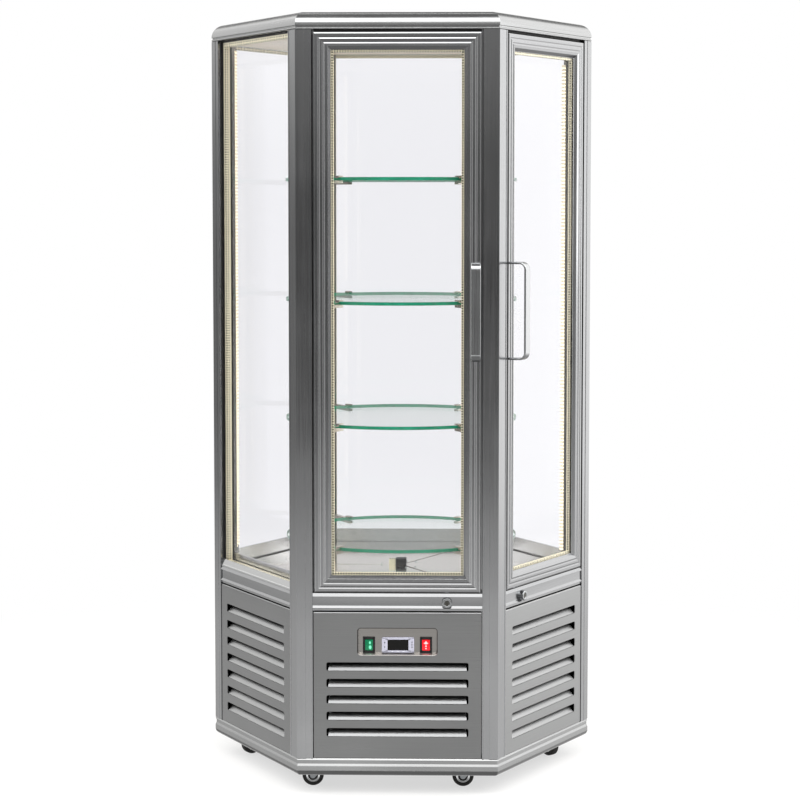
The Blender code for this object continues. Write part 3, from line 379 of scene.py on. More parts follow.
# Zinc plate shines dully and alike from all sides. On the wheels the plate is painted much paler:
# painted light that makes it flash against the tyre in the shade under the plinth. Rubber and plastic
# are near black, with the dull grain of their moulds, drawn coarser than it is so that it shows.
zinc = brushed("zinc_plated_steel", "#9fa3a6", 0.34, (60.0, 60.0, 60.0), 0.00003)
wheel_zinc_painted_light = brushed("zinc_plate_painted_light", "#e8eaec", 0.24, (90.0, 90.0, 90.0), 0.00001)
tyre_rubber = grained("moulded_black_rubber", "#141414", "#262524", 0.675, 160.0, 3.0, 0.125, 0.2, 0.0002)
wheel_plastic = grained("black_polypropylene", "#161617", "#222224", 0.50, 700.0)
castor_radius = 0.350
castor_trail = 0.024
wheel_radius = 0.025
half_wheel = 0.010
tyre_corner = 0.004
hub_radius = 0.0068
ring_start = 0.0115
ring_end = 0.0160
castors = (                      # name, place round the cabinet and direction of trail, in degrees
    ("front_left", 240, 180),
    ("front_right", 300, 180),
    ("right", 0, 310),
    ("rear_right", 60, 150),
    ("rear_left", 120, 200),
    ("left", 180, 215),
)


def eased(bm, edges, width, steps=2, clamp=False):
    """Rounds some edges of a shape."""
    bmesh.ops.bevel(bm, geom=edges, offset=width, segments=steps, profile=0.5, material=-1,
                    affect="EDGES", clamp_overlap=clamp)
    return bm


def softened(node, width, steps=2):
    """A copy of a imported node, merged to whole faces, with its sharp edges rounded."""
    bm = bmesh.new()
    bm.from_mesh(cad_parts[node].data)
    bmesh.ops.remove_doubles(bm, verts=bm.verts, dist=seat_gap / 10)
    bmesh.ops.dissolve_limit(bm, angle_limit=math.radians(1), verts=bm.verts, edges=bm.edges)
    sharp = [e for e in bm.edges if e.is_manifold and e.calc_face_angle() > math.radians(35)]
    return eased(bm, sharp, width, steps, clamp=True)


def lathed(section, steps):
    """A section of (radius, side) points turned round an axle along Y."""
    return spun([(radius, side, 0) for radius, side in section], (0, 1, 0), steps)


def both_sides(section):
    return section + [(radius, -side) for radius, side in reversed(section)]


tyre_edge = [(wheel_radius - tyre_corner * (1 - math.cos(math.radians(t))),
              half_wheel - tyre_corner * (1 - math.sin(math.radians(t)))) for t in range(90, -1, -18)]
tyre_section = both_sides([(ring_end, half_wheel - 0.0015), (0.0178, half_wheel), *tyre_edge])
centre_section = both_sides([(hub_radius, half_wheel - 0.0040), (ring_start, half_wheel - 0.0040),
                             (ring_start + 0.0004, half_wheel - 0.0010),
                             (ring_end, half_wheel - 0.0004)])
hub_section = both_sides([(0.0036, half_wheel + 0.0003), (0.0056, half_wheel),
                          (hub_radius, half_wheel - 0.0016)])
for name, round_place, trail in castors:
    angle = math.radians(round_place)
    swivel = Vector((castor_radius * math.cos(angle), castor_radius * math.sin(angle) + centre_y, 0))
    trail_turn = Matrix.Translation(swivel) @ Matrix.Rotation(math.radians(trail), 4, "Z")
    for part, section, finish, slot in (
        ("tyre", tyre_section, tyre_rubber, "black_rubber"),
        ("wheel_centre", centre_section, [wheel_zinc_painted_light, wheel_plastic], "zinc_plated_steel"),
        ("wheel_hub", hub_section, wheel_zinc_painted_light, "chrome"),
    ):
        bm = lathed(section, 40)
        if part == "wheel_centre":
            for face in bm.faces:
                middle = face.calc_center_median()
                on_disc = math.hypot(middle.x, middle.z) > ring_start - 0.0002
                face.material_index = 0 if on_disc else 1
        moved(bm, (castor_trail, 0, wheel_radius))
        bmesh.ops.transform(bm, matrix=trail_turn, verts=bm.verts)
        piece(f"{part}_{name}", bm, finish, f"wheel_{name}",
              [f"castor_wheel_{name}"] if part == "tyre" else ())
    piece(f"pressed_fork_{name}", softened(f"castor_fork_{name}", 0.0008), zinc, f"castor_{name}",
          [f"castor_fork_{name}"])


# Corner posts: hollow aluminium extrusions, satin anodised. Each arm has a flat, a shallow groove and
# an edge bead on its face, a rebate for the pane or door behind it, and a ridge for a light strip.
# Anodising makes the metal pale and even, and the die's upright lines spread each light sideways.
upright_grain = (1 / line_pitch, 1 / line_pitch, along_line)
aluminium_up = brushed("satin_anodised_aluminium_upright", "#9fa0a2", 0.18, upright_grain, 0.00002)
tan30 = math.tan(math.radians(30))
post_flange = 0.0364
post_groove = (0.0197, 0.0330)
groove_depth = 0.001
groove_slope = 0.0005
jamb_depth = 0.0298
post_depth = 0.036
fixed_lip = 0.016
door_lip = 0.0395
ridge_width = 0.012
ridge_depth = 0.003
post_ease = 0.00035


def arm(lip):
    """One arm's outline from its flat to its inner side: (along the face, depth)."""
    start, end = post_groove
    return [
        (start, 0), (start + groove_slope, groove_depth), (end - groove_slope, groove_depth), (end, 0),
        (post_flange, 0),
        (post_flange, jamb_depth), (post_flange + lip, jamb_depth), (post_flange + lip, post_depth),
        (post_flange + ridge_width, post_depth), (post_flange + ridge_width, post_depth + ridge_depth),
        (post_flange, post_depth + ridge_depth), (post_flange, post_depth),
    ]


def post_point(along, depth, side):
    """A point of a post whose corner is at -Y, on its right (1) or left (-1) arm."""
    return (side * (along * cos30 - depth / 2), -side_length + along / 2 + depth * cos30)


def drawn(outline, run):
    """A flat outline drawn out along a straight run."""
    bm = bmesh.new()
    face = bm.faces.new([bm.verts.new(point) for point in outline])
    grown = bmesh.ops.extrude_face_region(bm, geom=[face])["geom"]
    bmesh.ops.translate(bm, verts=[v for v in grown if isinstance(v, bmesh.types.BMVert)], vec=run)
    return finished(bm)


def prism(outline, low, high):
    """An outline in plan, drawn up from one height to another."""
    return drawn([(x, y, low) for x, y in outline], (0, 0, high - low))


def turned(bm, degrees):
    """Turns a shape round the origin, then brings it round the cabinet's axis."""
    bmesh.ops.rotate(bm, cent=(0, 0, 0), matrix=Matrix.Rotation(math.radians(degrees), 3, "Z"),
                     verts=bm.verts)
    return moved(bm, (0, centre_y, 0))


def upright_edges(bm, height):
    return [e for e in bm.edges if abs(e.verts[0].co.z - e.verts[1].co.z) > height / 2]


posts = (
    ("front_left", 330, fixed_lip, door_lip),
    ("front_right", 30, door_lip, door_lip),
    ("right", 90, door_lip, fixed_lip),
    ("rear_right", 150, fixed_lip, fixed_lip),
    ("rear_left", 210, fixed_lip, fixed_lip),
    ("left", 270, fixed_lip, fixed_lip),
)
for name, turn, left_lip, right_lip in posts:
    low, high = heights(f"{name}_post")
    outline = [post_point(0, 0, 1)] + [post_point(u, d, 1) for u, d in arm(right_lip)]
    outline += [post_point(post_depth * tan30, post_depth, 1)]
    outline += [post_point(u, d, -1) for u, d in reversed(arm(left_lip))]
    bm = turned(prism(outline, low, high), turn)
    eased(bm, upright_edges(bm, high - low), post_ease)
    piece(f"{name}_corner_post", bm, aluminium_up, "cabinet", [f"{name}_post"])


# Crossbars: aluminium extrusions with a leaning bead at each edge and a recess between, screwed
# between the posts over the base. Behind them stand the sills that panes and doors close against.
# The die's level lines shade the bars evenly from top to bottom. The sills are the same aluminium
# painted brighter: painted light from the strips that shine down on them.
aluminium_level = brushed("satin_anodised_aluminium_level", "#9fa0a2", 0.18, level_grain, 0.00002)
painted_light_aluminium = brushed("anodised_aluminium_painted_light", "#d2d3d4", 0.20, level_grain, 0.00002)
face_turns = {"front": 0, "right": 60, "rear_right": 120, "rear": 180, "rear_left": 240, "left": 300}
door_faces = ("front", "right")
crossbar_top = heights("rear_glass")[0] - seat_gap
crossbar_bottom, sill_top = heights("crossbar_frame")
window_edge = side_length / 2 - post_flange
inner_face = post_depth + ridge_depth + seat_gap


def at(along, depth, z):
    """A point of the front face: along it, inside its plane, and above the floor."""
    return Vector((along, depth - apothem, z))


def on_face(bm, name):
    """Turns a shape made on the front face to another face of the cabinet."""
    return turned(bm, face_turns[name])


def beam(section, half, shift=0.0):
    """A section of (depth, z) points, drawn along the front face from its middle both ways."""
    return drawn([at(shift - half, depth, z) for depth, z in section], (2 * half, 0, 0))


crossbar_bead = 0.008
crossbar_recess = 0.0028
crossbar_edge = 0.0035           # how far back the top edge starts
upper_bead_head = crossbar_top - 0.0002
lower_bead_foot = crossbar_bottom + 0.0045
lower_bead_head = lower_bead_foot + crossbar_bead - 0.0006
crossbar_section = [
    (jamb_depth - seat_gap, crossbar_top), (crossbar_edge, crossbar_top),
    *leaning_bead(upper_bead_head, crossbar_bead, crossbar_recess),
    (crossbar_recess, upper_bead_head - crossbar_bead - 0.0001),
    *leaning_bead(lower_bead_head, crossbar_bead - 0.0012, crossbar_recess),
    (crossbar_recess, lower_bead_foot), (crossbar_recess, crossbar_bottom),
    (jamb_depth - seat_gap, crossbar_bottom),
]
for name in face_turns:
    bm = beam(crossbar_section, window_edge - seat_gap)
    piece(f"{name}_crossbar", on_face(bm, name), aluminium_level, "cabinet",
          ["crossbar_frame"] if name == "front" else ())
belt_top = crossbar_bottom + 0.0135
belt_width = 0.012
sill_section = [
    (post_depth, belt_top), (post_depth, sill_top), (jamb_depth, sill_top), (jamb_depth, crossbar_bottom),
    (inner_face + belt_width, crossbar_bottom), (inner_face + belt_width, belt_top),
]
for name in face_turns:
    lip = door_lip if name in door_faces else fixed_lip
    bm = beam(sill_section, window_edge - lip - seat_gap)
    eased(bm, bm.edges[:], 0.0004)
    piece(f"{name}_sill", on_face(bm, name), painted_light_aluminium, "cabinet")


# Top cover: 1.5 mm brushed stainless steel, folded with a bead, a groove and a rolled edge, and
# closed by a sunk roof. It sits over the heads of the posts.
rim_bottom, rim_top = heights("top_cover")
rim_bead = 0.0048
rim_groove = 0.0022
rim_return = 0.050
groove_top = rim_bottom + 0.008
rim_roll = 0.030
rim_width = 0.040
rim_chamfer = 0.002
roof_z = rim_top - 0.0052
roof_fold = 0.001


def bead(low, high, rise, steps=8):
    """Points of a round bead in a section: it stands its rise above the ground beside it."""
    half = (high - low) / 2
    radius = (half * half + rise * rise) / (2 * rise)
    reach = math.asin(min(1.0, half / radius))
    turns = [reach * (2 * step / steps - 1) for step in range(steps + 1)]
    return [(radius * (1 - math.cos(a)), (low + high) / 2 + radius * math.sin(a)) for a in turns]


bm = hexagon_ring([
    (rim_return, rim_bottom), *bead(rim_bottom, rim_bottom + rim_bead, rim_groove),
    (rim_groove, groove_top), (0.0004, groove_top + 0.0004), (0, groove_top + 0.001),
    *roll(rim_roll, rim_top - rim_roll, 1), (rim_width - rim_chamfer, rim_top),
    (rim_width, rim_top - rim_chamfer), (rim_width, roof_z + roof_fold), (rim_width + roof_fold, roof_z),
])
roof_edge = [e for e in bm.edges if e.is_boundary and e.verts[0].co.z > rim_top - 0.01]
bmesh.ops.holes_fill(bm, edges=roof_edge)
piece("rolled_top_cover", bm, stainless, "cabinet", ["top_cover"], walled=True,
      angle=15)


# Ceiling: a sheet of satin stainless steel screwed up under the cover, and the aluminium rails that
# close the heads of the panes and doors. The sheet's pale, warm colour is painted glow from the strips,
# and the rails take the aluminium painted brighter: painted strip light.
ceiling_painted_glow_steel = brushed("satin_stainless_ceiling_painted_glow", "#f4e8d4", 0.32, (9.0, 9.0, 9.0), 0.00005)
post_head = rim_bottom - seat_gap
ceiling_low = post_head - 0.0077
head_heights = {True: 0.0445, False: 0.0087}     # over a door, and over a fixed pane


def hexagon(depth):
    """The corners of a hexagon this far inside the faces."""
    corner = (apothem - depth) / cos30
    turns = [math.radians(60 * step) for step in range(6)]
    return [(corner * math.cos(a), corner * math.sin(a) + centre_y) for a in turns]


bm = prism(hexagon(inner_face), ceiling_low, post_head)
piece("ceiling_sheet", bm, ceiling_painted_glow_steel, "cabinet", ["ceiling_panel"])
rail_depth = inner_face - seat_gap
for name in face_turns:
    lip = door_lip if name in door_faces else fixed_lip
    rail_low = post_head - head_heights[name in door_faces]
    rail_section = [(jamb_depth, post_head), (jamb_depth, rail_low), (post_depth, rail_low),
                    (post_depth, ceiling_low), (rail_depth, ceiling_low), (rail_depth, post_head)]
    bm = beam(rail_section, window_edge - lip - seat_gap)
    eased(bm, bm.edges[:], 0.0003)
    piece(f"{name}_head_rail", on_face(bm, name), painted_light_aluminium, "cabinet")


# Light strips: warm white LEDs on a white tape under a clear silicone sleeve, one on the ridge of
# each post arm and one up each door jamb. The lamps show as bright dots in an even, warm glow.
light_tape, tree = material("silicone_over_led_tape")
height = add(tree, "SeparateXYZ", {0: add(tree, "TexCoord").outputs["Object"]}).outputs["Z"]
led_pitch = 0.0083               # 120 lamps per metre
row = add(tree, "Math", {0: height, 1: math.tau / led_pitch}, operation="MULTIPLY")
wave = add(tree, "Math", {0: row}, operation="SINE")
dots = add(tree, "MapRange", {"Value": wave, "From Min": 0.2, "From Max": 0.9,
                              "To Min": 0.25, "To Max": 1.6}, interpolation_type="SMOOTHSTEP")
silicone = add(tree, "BsdfPrincipled", {"Base Color": linear("#d8d0ba"), "Roughness": 0.25,
                                        "Emission Color": linear("#fff0cf"),
                                        "Emission Strength": dots})
add(tree, "OutputMaterial", {"Surface": silicone})
tape_width = 0.010
tape_thickness = 0.0022
tape_ease = 0.0008
tape_stand = 0.0001
tape_low = sill_top + 0.012
tape_high = ceiling_low - 0.012
jamb_tape_high = tape_high - 0.040
jamb_tape_near = jamb_depth + 0.0006


def slab(low, high, edge=0.0, steps=2):
    """A block from corner to corner, with rounded edges."""
    low, high = Vector(low), Vector(high)
    bm = bmesh.new()
    bmesh.ops.create_cube(bm, size=1)
    bmesh.ops.scale(bm, verts=bm.verts, vec=high - low)
    moved(bm, (low + high) / 2)
    return eased(bm, bm.edges[:], edge, steps) if edge else bm


def joined(*parts):
    """Several shapes in one bmesh."""
    whole = bmesh.new()
    for part in parts:
        spare = bpy.data.meshes.new("spare")
        part.to_mesh(spare)
        part.free()
        whole.from_mesh(spare)
        bpy.data.meshes.remove(spare)
    return whole


for name, turn, left_lip, right_lip in posts:
    tapes = []
    for side, lip in ((-1, left_lip), (1, right_lip)):
        near = post_depth + ridge_depth + tape_stand
        middle = post_flange + ridge_width / 2
        bm = slab((middle - tape_width / 2, near, tape_low),
                  (middle + tape_width / 2, near + tape_thickness, tape_high), tape_ease)
        if lip == door_lip:
            end = post_flange + lip + tape_stand
            bm = joined(bm, slab((end, jamb_tape_near, tape_low),
                                 (end + tape_thickness, jamb_tape_near + tape_width, jamb_tape_high),
                                 tape_ease))
        for vert in bm.verts:
            vert.co.xy = post_point(vert.co.x, vert.co.y, side)
        tapes.append(finished(bm))
    piece(f"{name}_light_strips", turned(joined(*tapes), turn), light_tape, "cabinet")


# Fixed panes: sealed double glazing. Two sheets of 4 mm float glass on a perforated aluminium
# spacer, closed with black sealant and bedded in the posts' rebates behind a bead and a foot trim.
def glass(name, tint):
    """Float glass: clear when looked through squarely, and more of a mirror the flatter the look."""
    made, tree = material(name)
    facing = add(tree, "LayerWeight", {"Blend": 0.5}).outputs["Facing"]
    slope = add(tree, "Math", {0: facing, 1: 5.0}, operation="POWER")
    mirrored_share = add(tree, "MapRange", {"Value": slope, "To Min": 0.012, "To Max": 0.35})
    through = add(tree, "BsdfTransparent", {"Color": linear(tint)})
    mirror = add(tree, "BsdfGlossy", {"Color": linear("#ffffff"), "Roughness": 0.02})
    pane = add(tree, "MixShader", {0: mirrored_share, 1: through,
                                   2: mirror})
    add(tree, "OutputMaterial", {"Surface": pane})
    return made


# The outer sheet is plain. The inner one's heat-saving coat makes the view through it a trace cooler.
outer_glass = glass("clear_float_glass", "#fefefe")
inner_glass = glass("coated_float_glass", "#fefeff")
# Sealant is dull and black: it draws a dark line round each pane.
sealant = grained("black_polysulphide_sealant", "#0d0d0e", "#1c1c1d", 0.55, 120.0, spread=0.0, relief=0.0)

# The spacer is a pale bar with rows of dark perforations, which let its drying beads work. They are
# 2 mm apart, drawn at 6 mm to show.
spacer_metal, tree = material("perforated_mill_aluminium")
perforation_pitch = 0.006
place = add(tree, "TexCoord").outputs["Object"]
cells = add(tree, "VectorMath", {0: place, 1: (1 / perforation_pitch,) * 3}, operation="MULTIPLY")
inside_cell = add(tree, "VectorMath", {0: cells}, operation="FRACTION")
off_centre = add(tree, "VectorMath", {0: inside_cell, 1: (0.5, 0.5, 0.5)}, operation="DISTANCE")
hole = add(tree, "MapRange", {"Value": off_centre, "From Min": 0.30, "From Max": 0.42},
           interpolation_type="SMOOTHSTEP")
tone = add(tree, "Mix", {0: hole, 6: linear("#3a372c"), 7: linear("#e9e2c8")}, data_type="RGBA")
metal = add(tree, "BsdfPrincipled", {"Base Color": tone, "Metallic": 0.4, "Roughness": 0.38})
add(tree, "OutputMaterial", {"Surface": metal})


def sheet_of_glass(half, near, thickness, low, high):
    """A pane with ground edges: its two faces are clear, its edges take the cut glass."""
    bm = slab(at(-half, near, low), at(half, near + thickness, high), 0.0005, 1)
    bmesh.ops.recalc_face_normals(bm, faces=bm.faces)
    for face in bm.faces:
        face.material_index = 0 if abs(face.normal.y) > 0.9 else 1
    return bm


def mitred_frame(half_width, low, high, section):
    """A section of (inset, depth) points spun in four steps to a square, then drawn out to its height."""
    bm = spun([(half_width - inset, depth, half_width - inset) for inset, depth in section], (0, 1, 0), 4)
    stretch = (high - low) / 2 - half_width
    for side in (-1, 1):
        bmesh.ops.translate(bm, verts=[v for v in bm.verts if v.co.z * side > 0],
                            vec=(0, 0, side * stretch))
    return moved(bm, at(0, 0, (low + high) / 2))


sealant_width = 0.0050
spacer_width = 0.0155
spacer_ease = 0.0008
spacer_gap = 0.0002              # between the spacer and each sheet


def double_glazing(name, half, near, far, leaf, low, high, body, node):
    """Two sheets, the spacer's frame between them and the sealant round that."""
    start, end = near + leaf, far - leaf
    coated = sheet_of_glass(half, end, leaf, low, high)
    for face in coated.faces:
        face.material_index = 2 if face.material_index == 0 else 1
    leaves = joined(sheet_of_glass(half, near, leaf, low, high), coated)
    seal = mitred_frame(half, low, high, [
        (spacer_ease, start), (sealant_width, start), (sealant_width, end), (spacer_ease, end)])
    spacer = mitred_frame(half, low, high, [
        (sealant_width, start + spacer_gap), (spacer_width - spacer_ease, start + spacer_gap),
        (spacer_width, start + spacer_gap + spacer_ease), (spacer_width, end - spacer_gap - spacer_ease),
        (spacer_width - spacer_ease, end - spacer_gap), (sealant_width, end - spacer_gap)])
    face = name.replace("_door", "")
    piece(f"{name}_panes", on_face(leaves, face), [outer_glass, sealant, inner_glass], body,
          [node])
    piece(f"{name}_edge_sealant", on_face(seal, face), sealant, body)
    piece(f"{name}_spacer", on_face(spacer, face), spacer_metal, body)


pane_setback = 0.008
pane_back = 0.0295
pane_leaf = 0.004
pane_side_gap = 0.0005
trim_height = 0.018
for name in face_turns:
    if name not in door_faces:
        low, high = heights(f"{name}_glass")
        half = window_edge - pane_side_gap
        double_glazing(name, half, pane_setback, pane_back, pane_leaf, low, high, "cabinet",
                       f"{name}_glass")
        seal = mitred_frame(half, low, high, [
            (0, pane_setback - 0.0024), (0.0008, pane_setback - 0.0024), (0.0020, pane_setback - 0.0010),
            (0.0020, pane_setback - 0.0002), (0, pane_setback - 0.0002)])
        piece(f"{name}_glazing_bead", on_face(seal, name), sealant, "cabinet")
        foot, back = low + 0.0002, pane_setback - 0.0003
        # The foot trim takes the aluminium painted brighter: painted light.
        trim = beam([(0.0054, foot), (0.0054, foot + 0.0022), (back, foot + 0.0026),
                     (back, foot + trim_height), (back - 0.0010, foot + trim_height),
                     (0.0030, foot + 0.0050), (0.0022, foot + 0.0040), (0.0022, foot)], half - 0.0004)
        piece(f"{name}_glazing_trim", on_face(trim, name), painted_light_aluminium, "cabinet",
              angle=10)


# Doors: mitred aluminium extrusions with two ridges and a bevel that falls to the double pane. Each
# hangs on two pins and closes on a magnetic gasket. Dark rubber seals and black tape line the gaps
# round it and paint the shade in them. The bow handle is bolted through the free stile.
door_side_gap = 0.0048
door_foot_gap = 0.0022
door_head_gap = 0.0066
door_half = window_edge - door_side_gap
door_low = crossbar_top + door_foot_gap
door_high = rim_bottom - door_head_gap
stile_width = 0.0385
stile_lip = 0.0085
stile_rebate = 0.010
door_back = 0.0242
ridge_rise = 0.0009
ridge_slope = 0.0023
hinge_sides = {"front": -1, "right": 1}
handle_low, handle_high = heights("front_door_handle")
handle_middle = (handle_low + handle_high) / 2
handle_width = 0.022
handle_reach = 0.045
handle_strip = 0.005
handle_bend = 0.017
handle_inset = 0.0122            # from the door's edge to the handle's middle
# Satin chrome is paler than the stile behind it and draws one soft glint down the bow.
handle_satin = brushed("satin_chromed_handle", "#b4b6b8", 0.20, upright_grain, 0.00002)

# The leaf's face from its outer edge inwards, as (inset, depth)
door_section = [(0, door_back), (0, 0.0018), (0.0003, 0.0012), (0.0022, 0.0003), (0.0028, 0)]
for start, end in ((0.0085, 0.0145), (0.0190, 0.0250)):
    door_section += [(start, 0), (start + 0.0003, 0.0001), (start + ridge_slope, ridge_rise),
                     (end - ridge_slope, ridge_rise), (end - 0.0003, 0.0001), (end, 0)]
door_section += [(0.0256, 0), (0.0258, 0.0002), (0.0310, 0.0014), (0.0318, 0.0020), (0.0376, 0.0074),
                 (stile_width, 0.0076), (stile_width, stile_lip),
                 (stile_width - stile_rebate, stile_lip), (stile_width - stile_rebate, door_back)]


def end_edges(bm):
    """The edges of the faces with more than four corners: both ends of a bar or a disc."""
    return [e for e in bm.edges if any(len(f.verts) > 4 for f in e.link_faces)]


def bow(side):
    """The handle's strip: its outline from the side, drawn to its width and rounded."""
    half = (handle_high - handle_low) / 2
    inner = handle_bend - handle_strip
    turns = [math.radians(t) for t in range(0, 91, 10)]

    def corner(radius, end):
        y = handle_bend - handle_reach
        z = end * (half - handle_bend)
        return [(y - radius * math.sin(a), z + end * radius * math.cos(a)) for a in turns]

    outline = [(-seat_gap, half), *corner(handle_bend, 1), *reversed(corner(handle_bend, -1)),
               (-seat_gap, -half), (-seat_gap, -half + handle_strip), *corner(inner, -1),
               *reversed(corner(inner, 1)), (-seat_gap, half - handle_strip)]
    section = [(depth, z + handle_middle) for depth, z in outline]
    bm = beam(section, handle_width / 2, side * (door_half - handle_inset))
    return eased(bm, end_edges(bm), 0.0020, 3)


foot_shade_span = (crossbar_top + 0.0001, crossbar_top + 0.0014)
head_shade_span = (rim_bottom - 0.0036, rim_bottom - seat_gap)
shade_tape_span = (door_low + 0.002, door_high - 0.002)
for name, side in hinge_sides.items():
    body = f"{name}_door"
    jamb = sorted((side * window_edge, side * (window_edge - 0.0006)))
    stile = sorted((-side * (door_half + seat_gap / 3), -side * (door_half + 0.0007)))
    # The seals and tapes are dark strips in the gaps, and paint the shade there.
    for part, finish, rider, ends, depths, levels in (
        ("head_shade_seal", tyre_rubber, "cabinet", (-door_half, door_half), (0.010, 0.0285), head_shade_span),
        ("foot_shade_seal", tyre_rubber, "cabinet", (-door_half, door_half), (0.004, 0.020), foot_shade_span),
        ("jamb_tape", sealant, "cabinet", jamb, (0.0008, 0.022), shade_tape_span),
        ("edge_shade_tape", sealant, body, stile, (0.0012, 0.022), shade_tape_span),
    ):
        low, high = (at(*corner) for corner in zip(ends, depths, levels))
        piece(f"{name}_{part}", on_face(slab(low, high), name), finish, rider)
    frame_mesh = mitred_frame(door_half, door_low, door_high, door_section)
    for face in frame_mesh.faces:
        middle = face.calc_center_median()
        on_rail = min(middle.z - door_low, door_high - middle.z) < door_half - abs(middle.x)
        face.material_index = 1 if on_rail else 0
    piece(f"{name}_door_leaf_frame", on_face(frame_mesh, name), [aluminium_up, aluminium_level], body,
          [f"{name}_door_frame"], angle=12)
    inset = stile_width - stile_rebate + seat_gap
    double_glazing(f"{name}_door", door_half - inset, stile_lip + seat_gap, 0.0226, 0.0035,
                   door_low + inset, door_high - inset, body, f"{name}_door_glass")
    piece(f"{name}_door_bow_handle", on_face(bow(-side), name), handle_satin, body,
          [f"{name}_door_handle"])
    piece(f"{name}_door_magnetic_gasket", softened(f"{name}_door_gasket", 0.0012, 3), tyre_rubber, body,
          [f"{name}_door_gasket"])


# Locks: a satin nickel cam lock in each crossbar, with a turning core, so that the doors can be shut
# up. A nut behind the bar holds it in its hole.
lock_z = (crossbar_top + crossbar_bottom) / 2 - 0.001
lock_side = 0.113
lock_radius = 0.0115
lock_reach = 0.007
lock_profile = [(0.0061, -0.0035), (0.0061, -0.0061), (0.0066, -0.0067), (0.0072, -lock_reach),
                (0.0102, -lock_reach), (0.0110, -0.0066), (lock_radius, -0.0058), (lock_radius, 0.0038),
                (0.0061, 0.0038)]
# Nickel is a little warmer than the bar round it, and the core is darker than the housing.
lock_core_metal = brushed("dark_lock_core", "#6a6965", 0.30, (200.0, 200.0, 200.0), 0.00002)
lock_metal = brushed("satin_nickel_lock", "#a9abad", 0.22, (200.0, 200.0, 200.0), 0.00002)
for name, side in hinge_sides.items():
    bm = moved(lathed(lock_profile, 48), at(-side * lock_side, 0, lock_z))
    piece(f"{name}_lock_housing", on_face(bm, name), lock_metal, "cabinet")
    piece(f"{name}_lock_core", softened(f"{name}_lock_cylinder", 0.0004), lock_core_metal, f"{name}_lock",
          [f"{name}_lock_cylinder"])


# Base panels: 1.5 mm stainless steel with a fine satin finish, folded back round the edge. Each louvre
# is a slot whose lower lip is bent in and up, so that air passes and spills don't.
panel_setback = 0.0012
panel_half = window_edge - 0.0016
panel_fold = 0.010
panel_lean = 0.0034
slot_height = 0.020
slot_corner = 0.0045
pocket_floor = panel_setback + 0.010
pocket_lip = 0.002
pad_depth = 0.0165
# The satin finish is dull and darker than the plinth's. A black pad behind the slots paints their shade.
panel_steel = brushed("satin_stainless_panel", "#9d9e9f", 0.33, level_grain, 0.00001)
shade_felt = grained("black_felt_painted_shade", "#040404", "#101010", 0.95, 900.0, spread=0.0, relief=0.0,
                      more={"Specular IOR Level": 0.1})


def rounded_prism(half_width, low, high, near, far, corner):
    """A block with its four long edges rounded, along a face's depth."""
    bm = slab(at(-half_width, near, low), at(half_width, far, high))
    deep = [e for e in bm.edges if abs(e.verts[0].co.y - e.verts[1].co.y) > (far - near) / 2]
    return eased(bm, deep, corner, 5)


def flap(half, low):
    """A louvre's lip: a bend at the slot's foot, then a straight lean inwards."""
    bm = bmesh.new()
    bend = 0.0025
    lean = math.radians(49)
    path = [(bend * math.sin(a), low + bend * (1 - math.cos(a)))
            for a in (lean * step / 4 for step in range(5))]
    run = (slot_height - 0.0045 - (path[-1][1] - low)) / math.sin(lean)
    path.append((path[-1][0] + run * math.cos(lean), path[-1][1] + run * math.sin(lean)))
    ends = (half, half - 0.0008, half - 0.0015, half - 0.0022, half - 0.0028, half - 0.0050)
    rows = [[bm.verts.new(at(side * end, panel_setback + depth, z)) for side in (-1, 1)]
            for end, (depth, z) in zip(ends, path)]
    for one, following in zip(rows, rows[1:]):
        bm.faces.new((one[0], one[1], following[1], following[0]))
    bmesh.ops.recalc_face_normals(bm, faces=bm.faces)
    if sum(f.normal.y for f in bm.faces) > 0:
        bmesh.ops.reverse_faces(bm, faces=bm.faces)
    bmesh.ops.solidify(bm, geom=bm.faces[:], thickness=sheet)
    return bm


def cut_sheet(blank, cutters):
    """The folded blank given its thickness, with the cutters' shapes taken out."""
    holder = bpy.data.objects.new("blank", bpy.data.meshes.new("blank"))
    blank.to_mesh(holder.data)
    blank.free()
    tool = bpy.data.objects.new("cutters", bpy.data.meshes.new("cutters"))
    cutters.to_mesh(tool.data)
    cutters.free()
    for item in (holder, tool):
        scene.collection.objects.link(item)
    add_wall(holder)
    cut = holder.modifiers.new("cut", "BOOLEAN")
    cut.operation = "DIFFERENCE"
    cut.object = tool
    bpy.context.view_layer.update()
    seen = holder.evaluated_get(bpy.context.evaluated_depsgraph_get())
    bm = bmesh.new()
    bm.from_mesh(seen.to_mesh())
    seen.to_mesh_clear()
    for item in (holder, tool):
        bpy.data.objects.remove(item, do_unlink=True)
    return bm


def folded_blank(low, high):
    """The panel's skin: a shallow tray, open at the back, with rounded folds."""
    bm = slab(at(-panel_half, panel_setback, low), at(panel_half, panel_setback + panel_fold, high))
    bmesh.ops.recalc_face_normals(bm, faces=bm.faces)
    back = [f for f in bm.faces if f.normal.y > 0.9]
    bmesh.ops.delete(bm, geom=back, context="FACES")
    bmesh.ops.bisect_plane(bm, geom=bm.verts[:] + bm.edges[:] + bm.faces[:],
                           plane_co=(0, 0, high - panel_lean), plane_no=(0, 0, 1))
    front = panel_setback - apothem + 0.0001
    top = [v for v in bm.verts if v.co.z > high - 0.0001 and v.co.y < front]
    bmesh.ops.translate(bm, verts=top, vec=(0, panel_lean * 0.45, 0))
    folds = [e for e in bm.edges if not e.is_boundary and e.calc_face_angle() > math.radians(45)]
    return eased(bm, folds, 0.0014, 3)


def bar(radius, start, end, segments=24, edge=0.0):
    """A round bar from one point to another, with eased ends."""
    start, end = Vector(start), Vector(end)
    bm = bmesh.new()
    bmesh.ops.create_cone(bm, cap_ends=True, segments=segments, radius1=radius, radius2=radius,
                          depth=(end - start).length)
    if edge:
        eased(bm, end_edges(bm), edge)
    turn = (end - start).to_track_quat("Z", "Y").to_matrix().to_4x4()
    bmesh.ops.transform(bm, matrix=Matrix.Translation((start + end) / 2) @ turn, verts=bm.verts)
    return bm


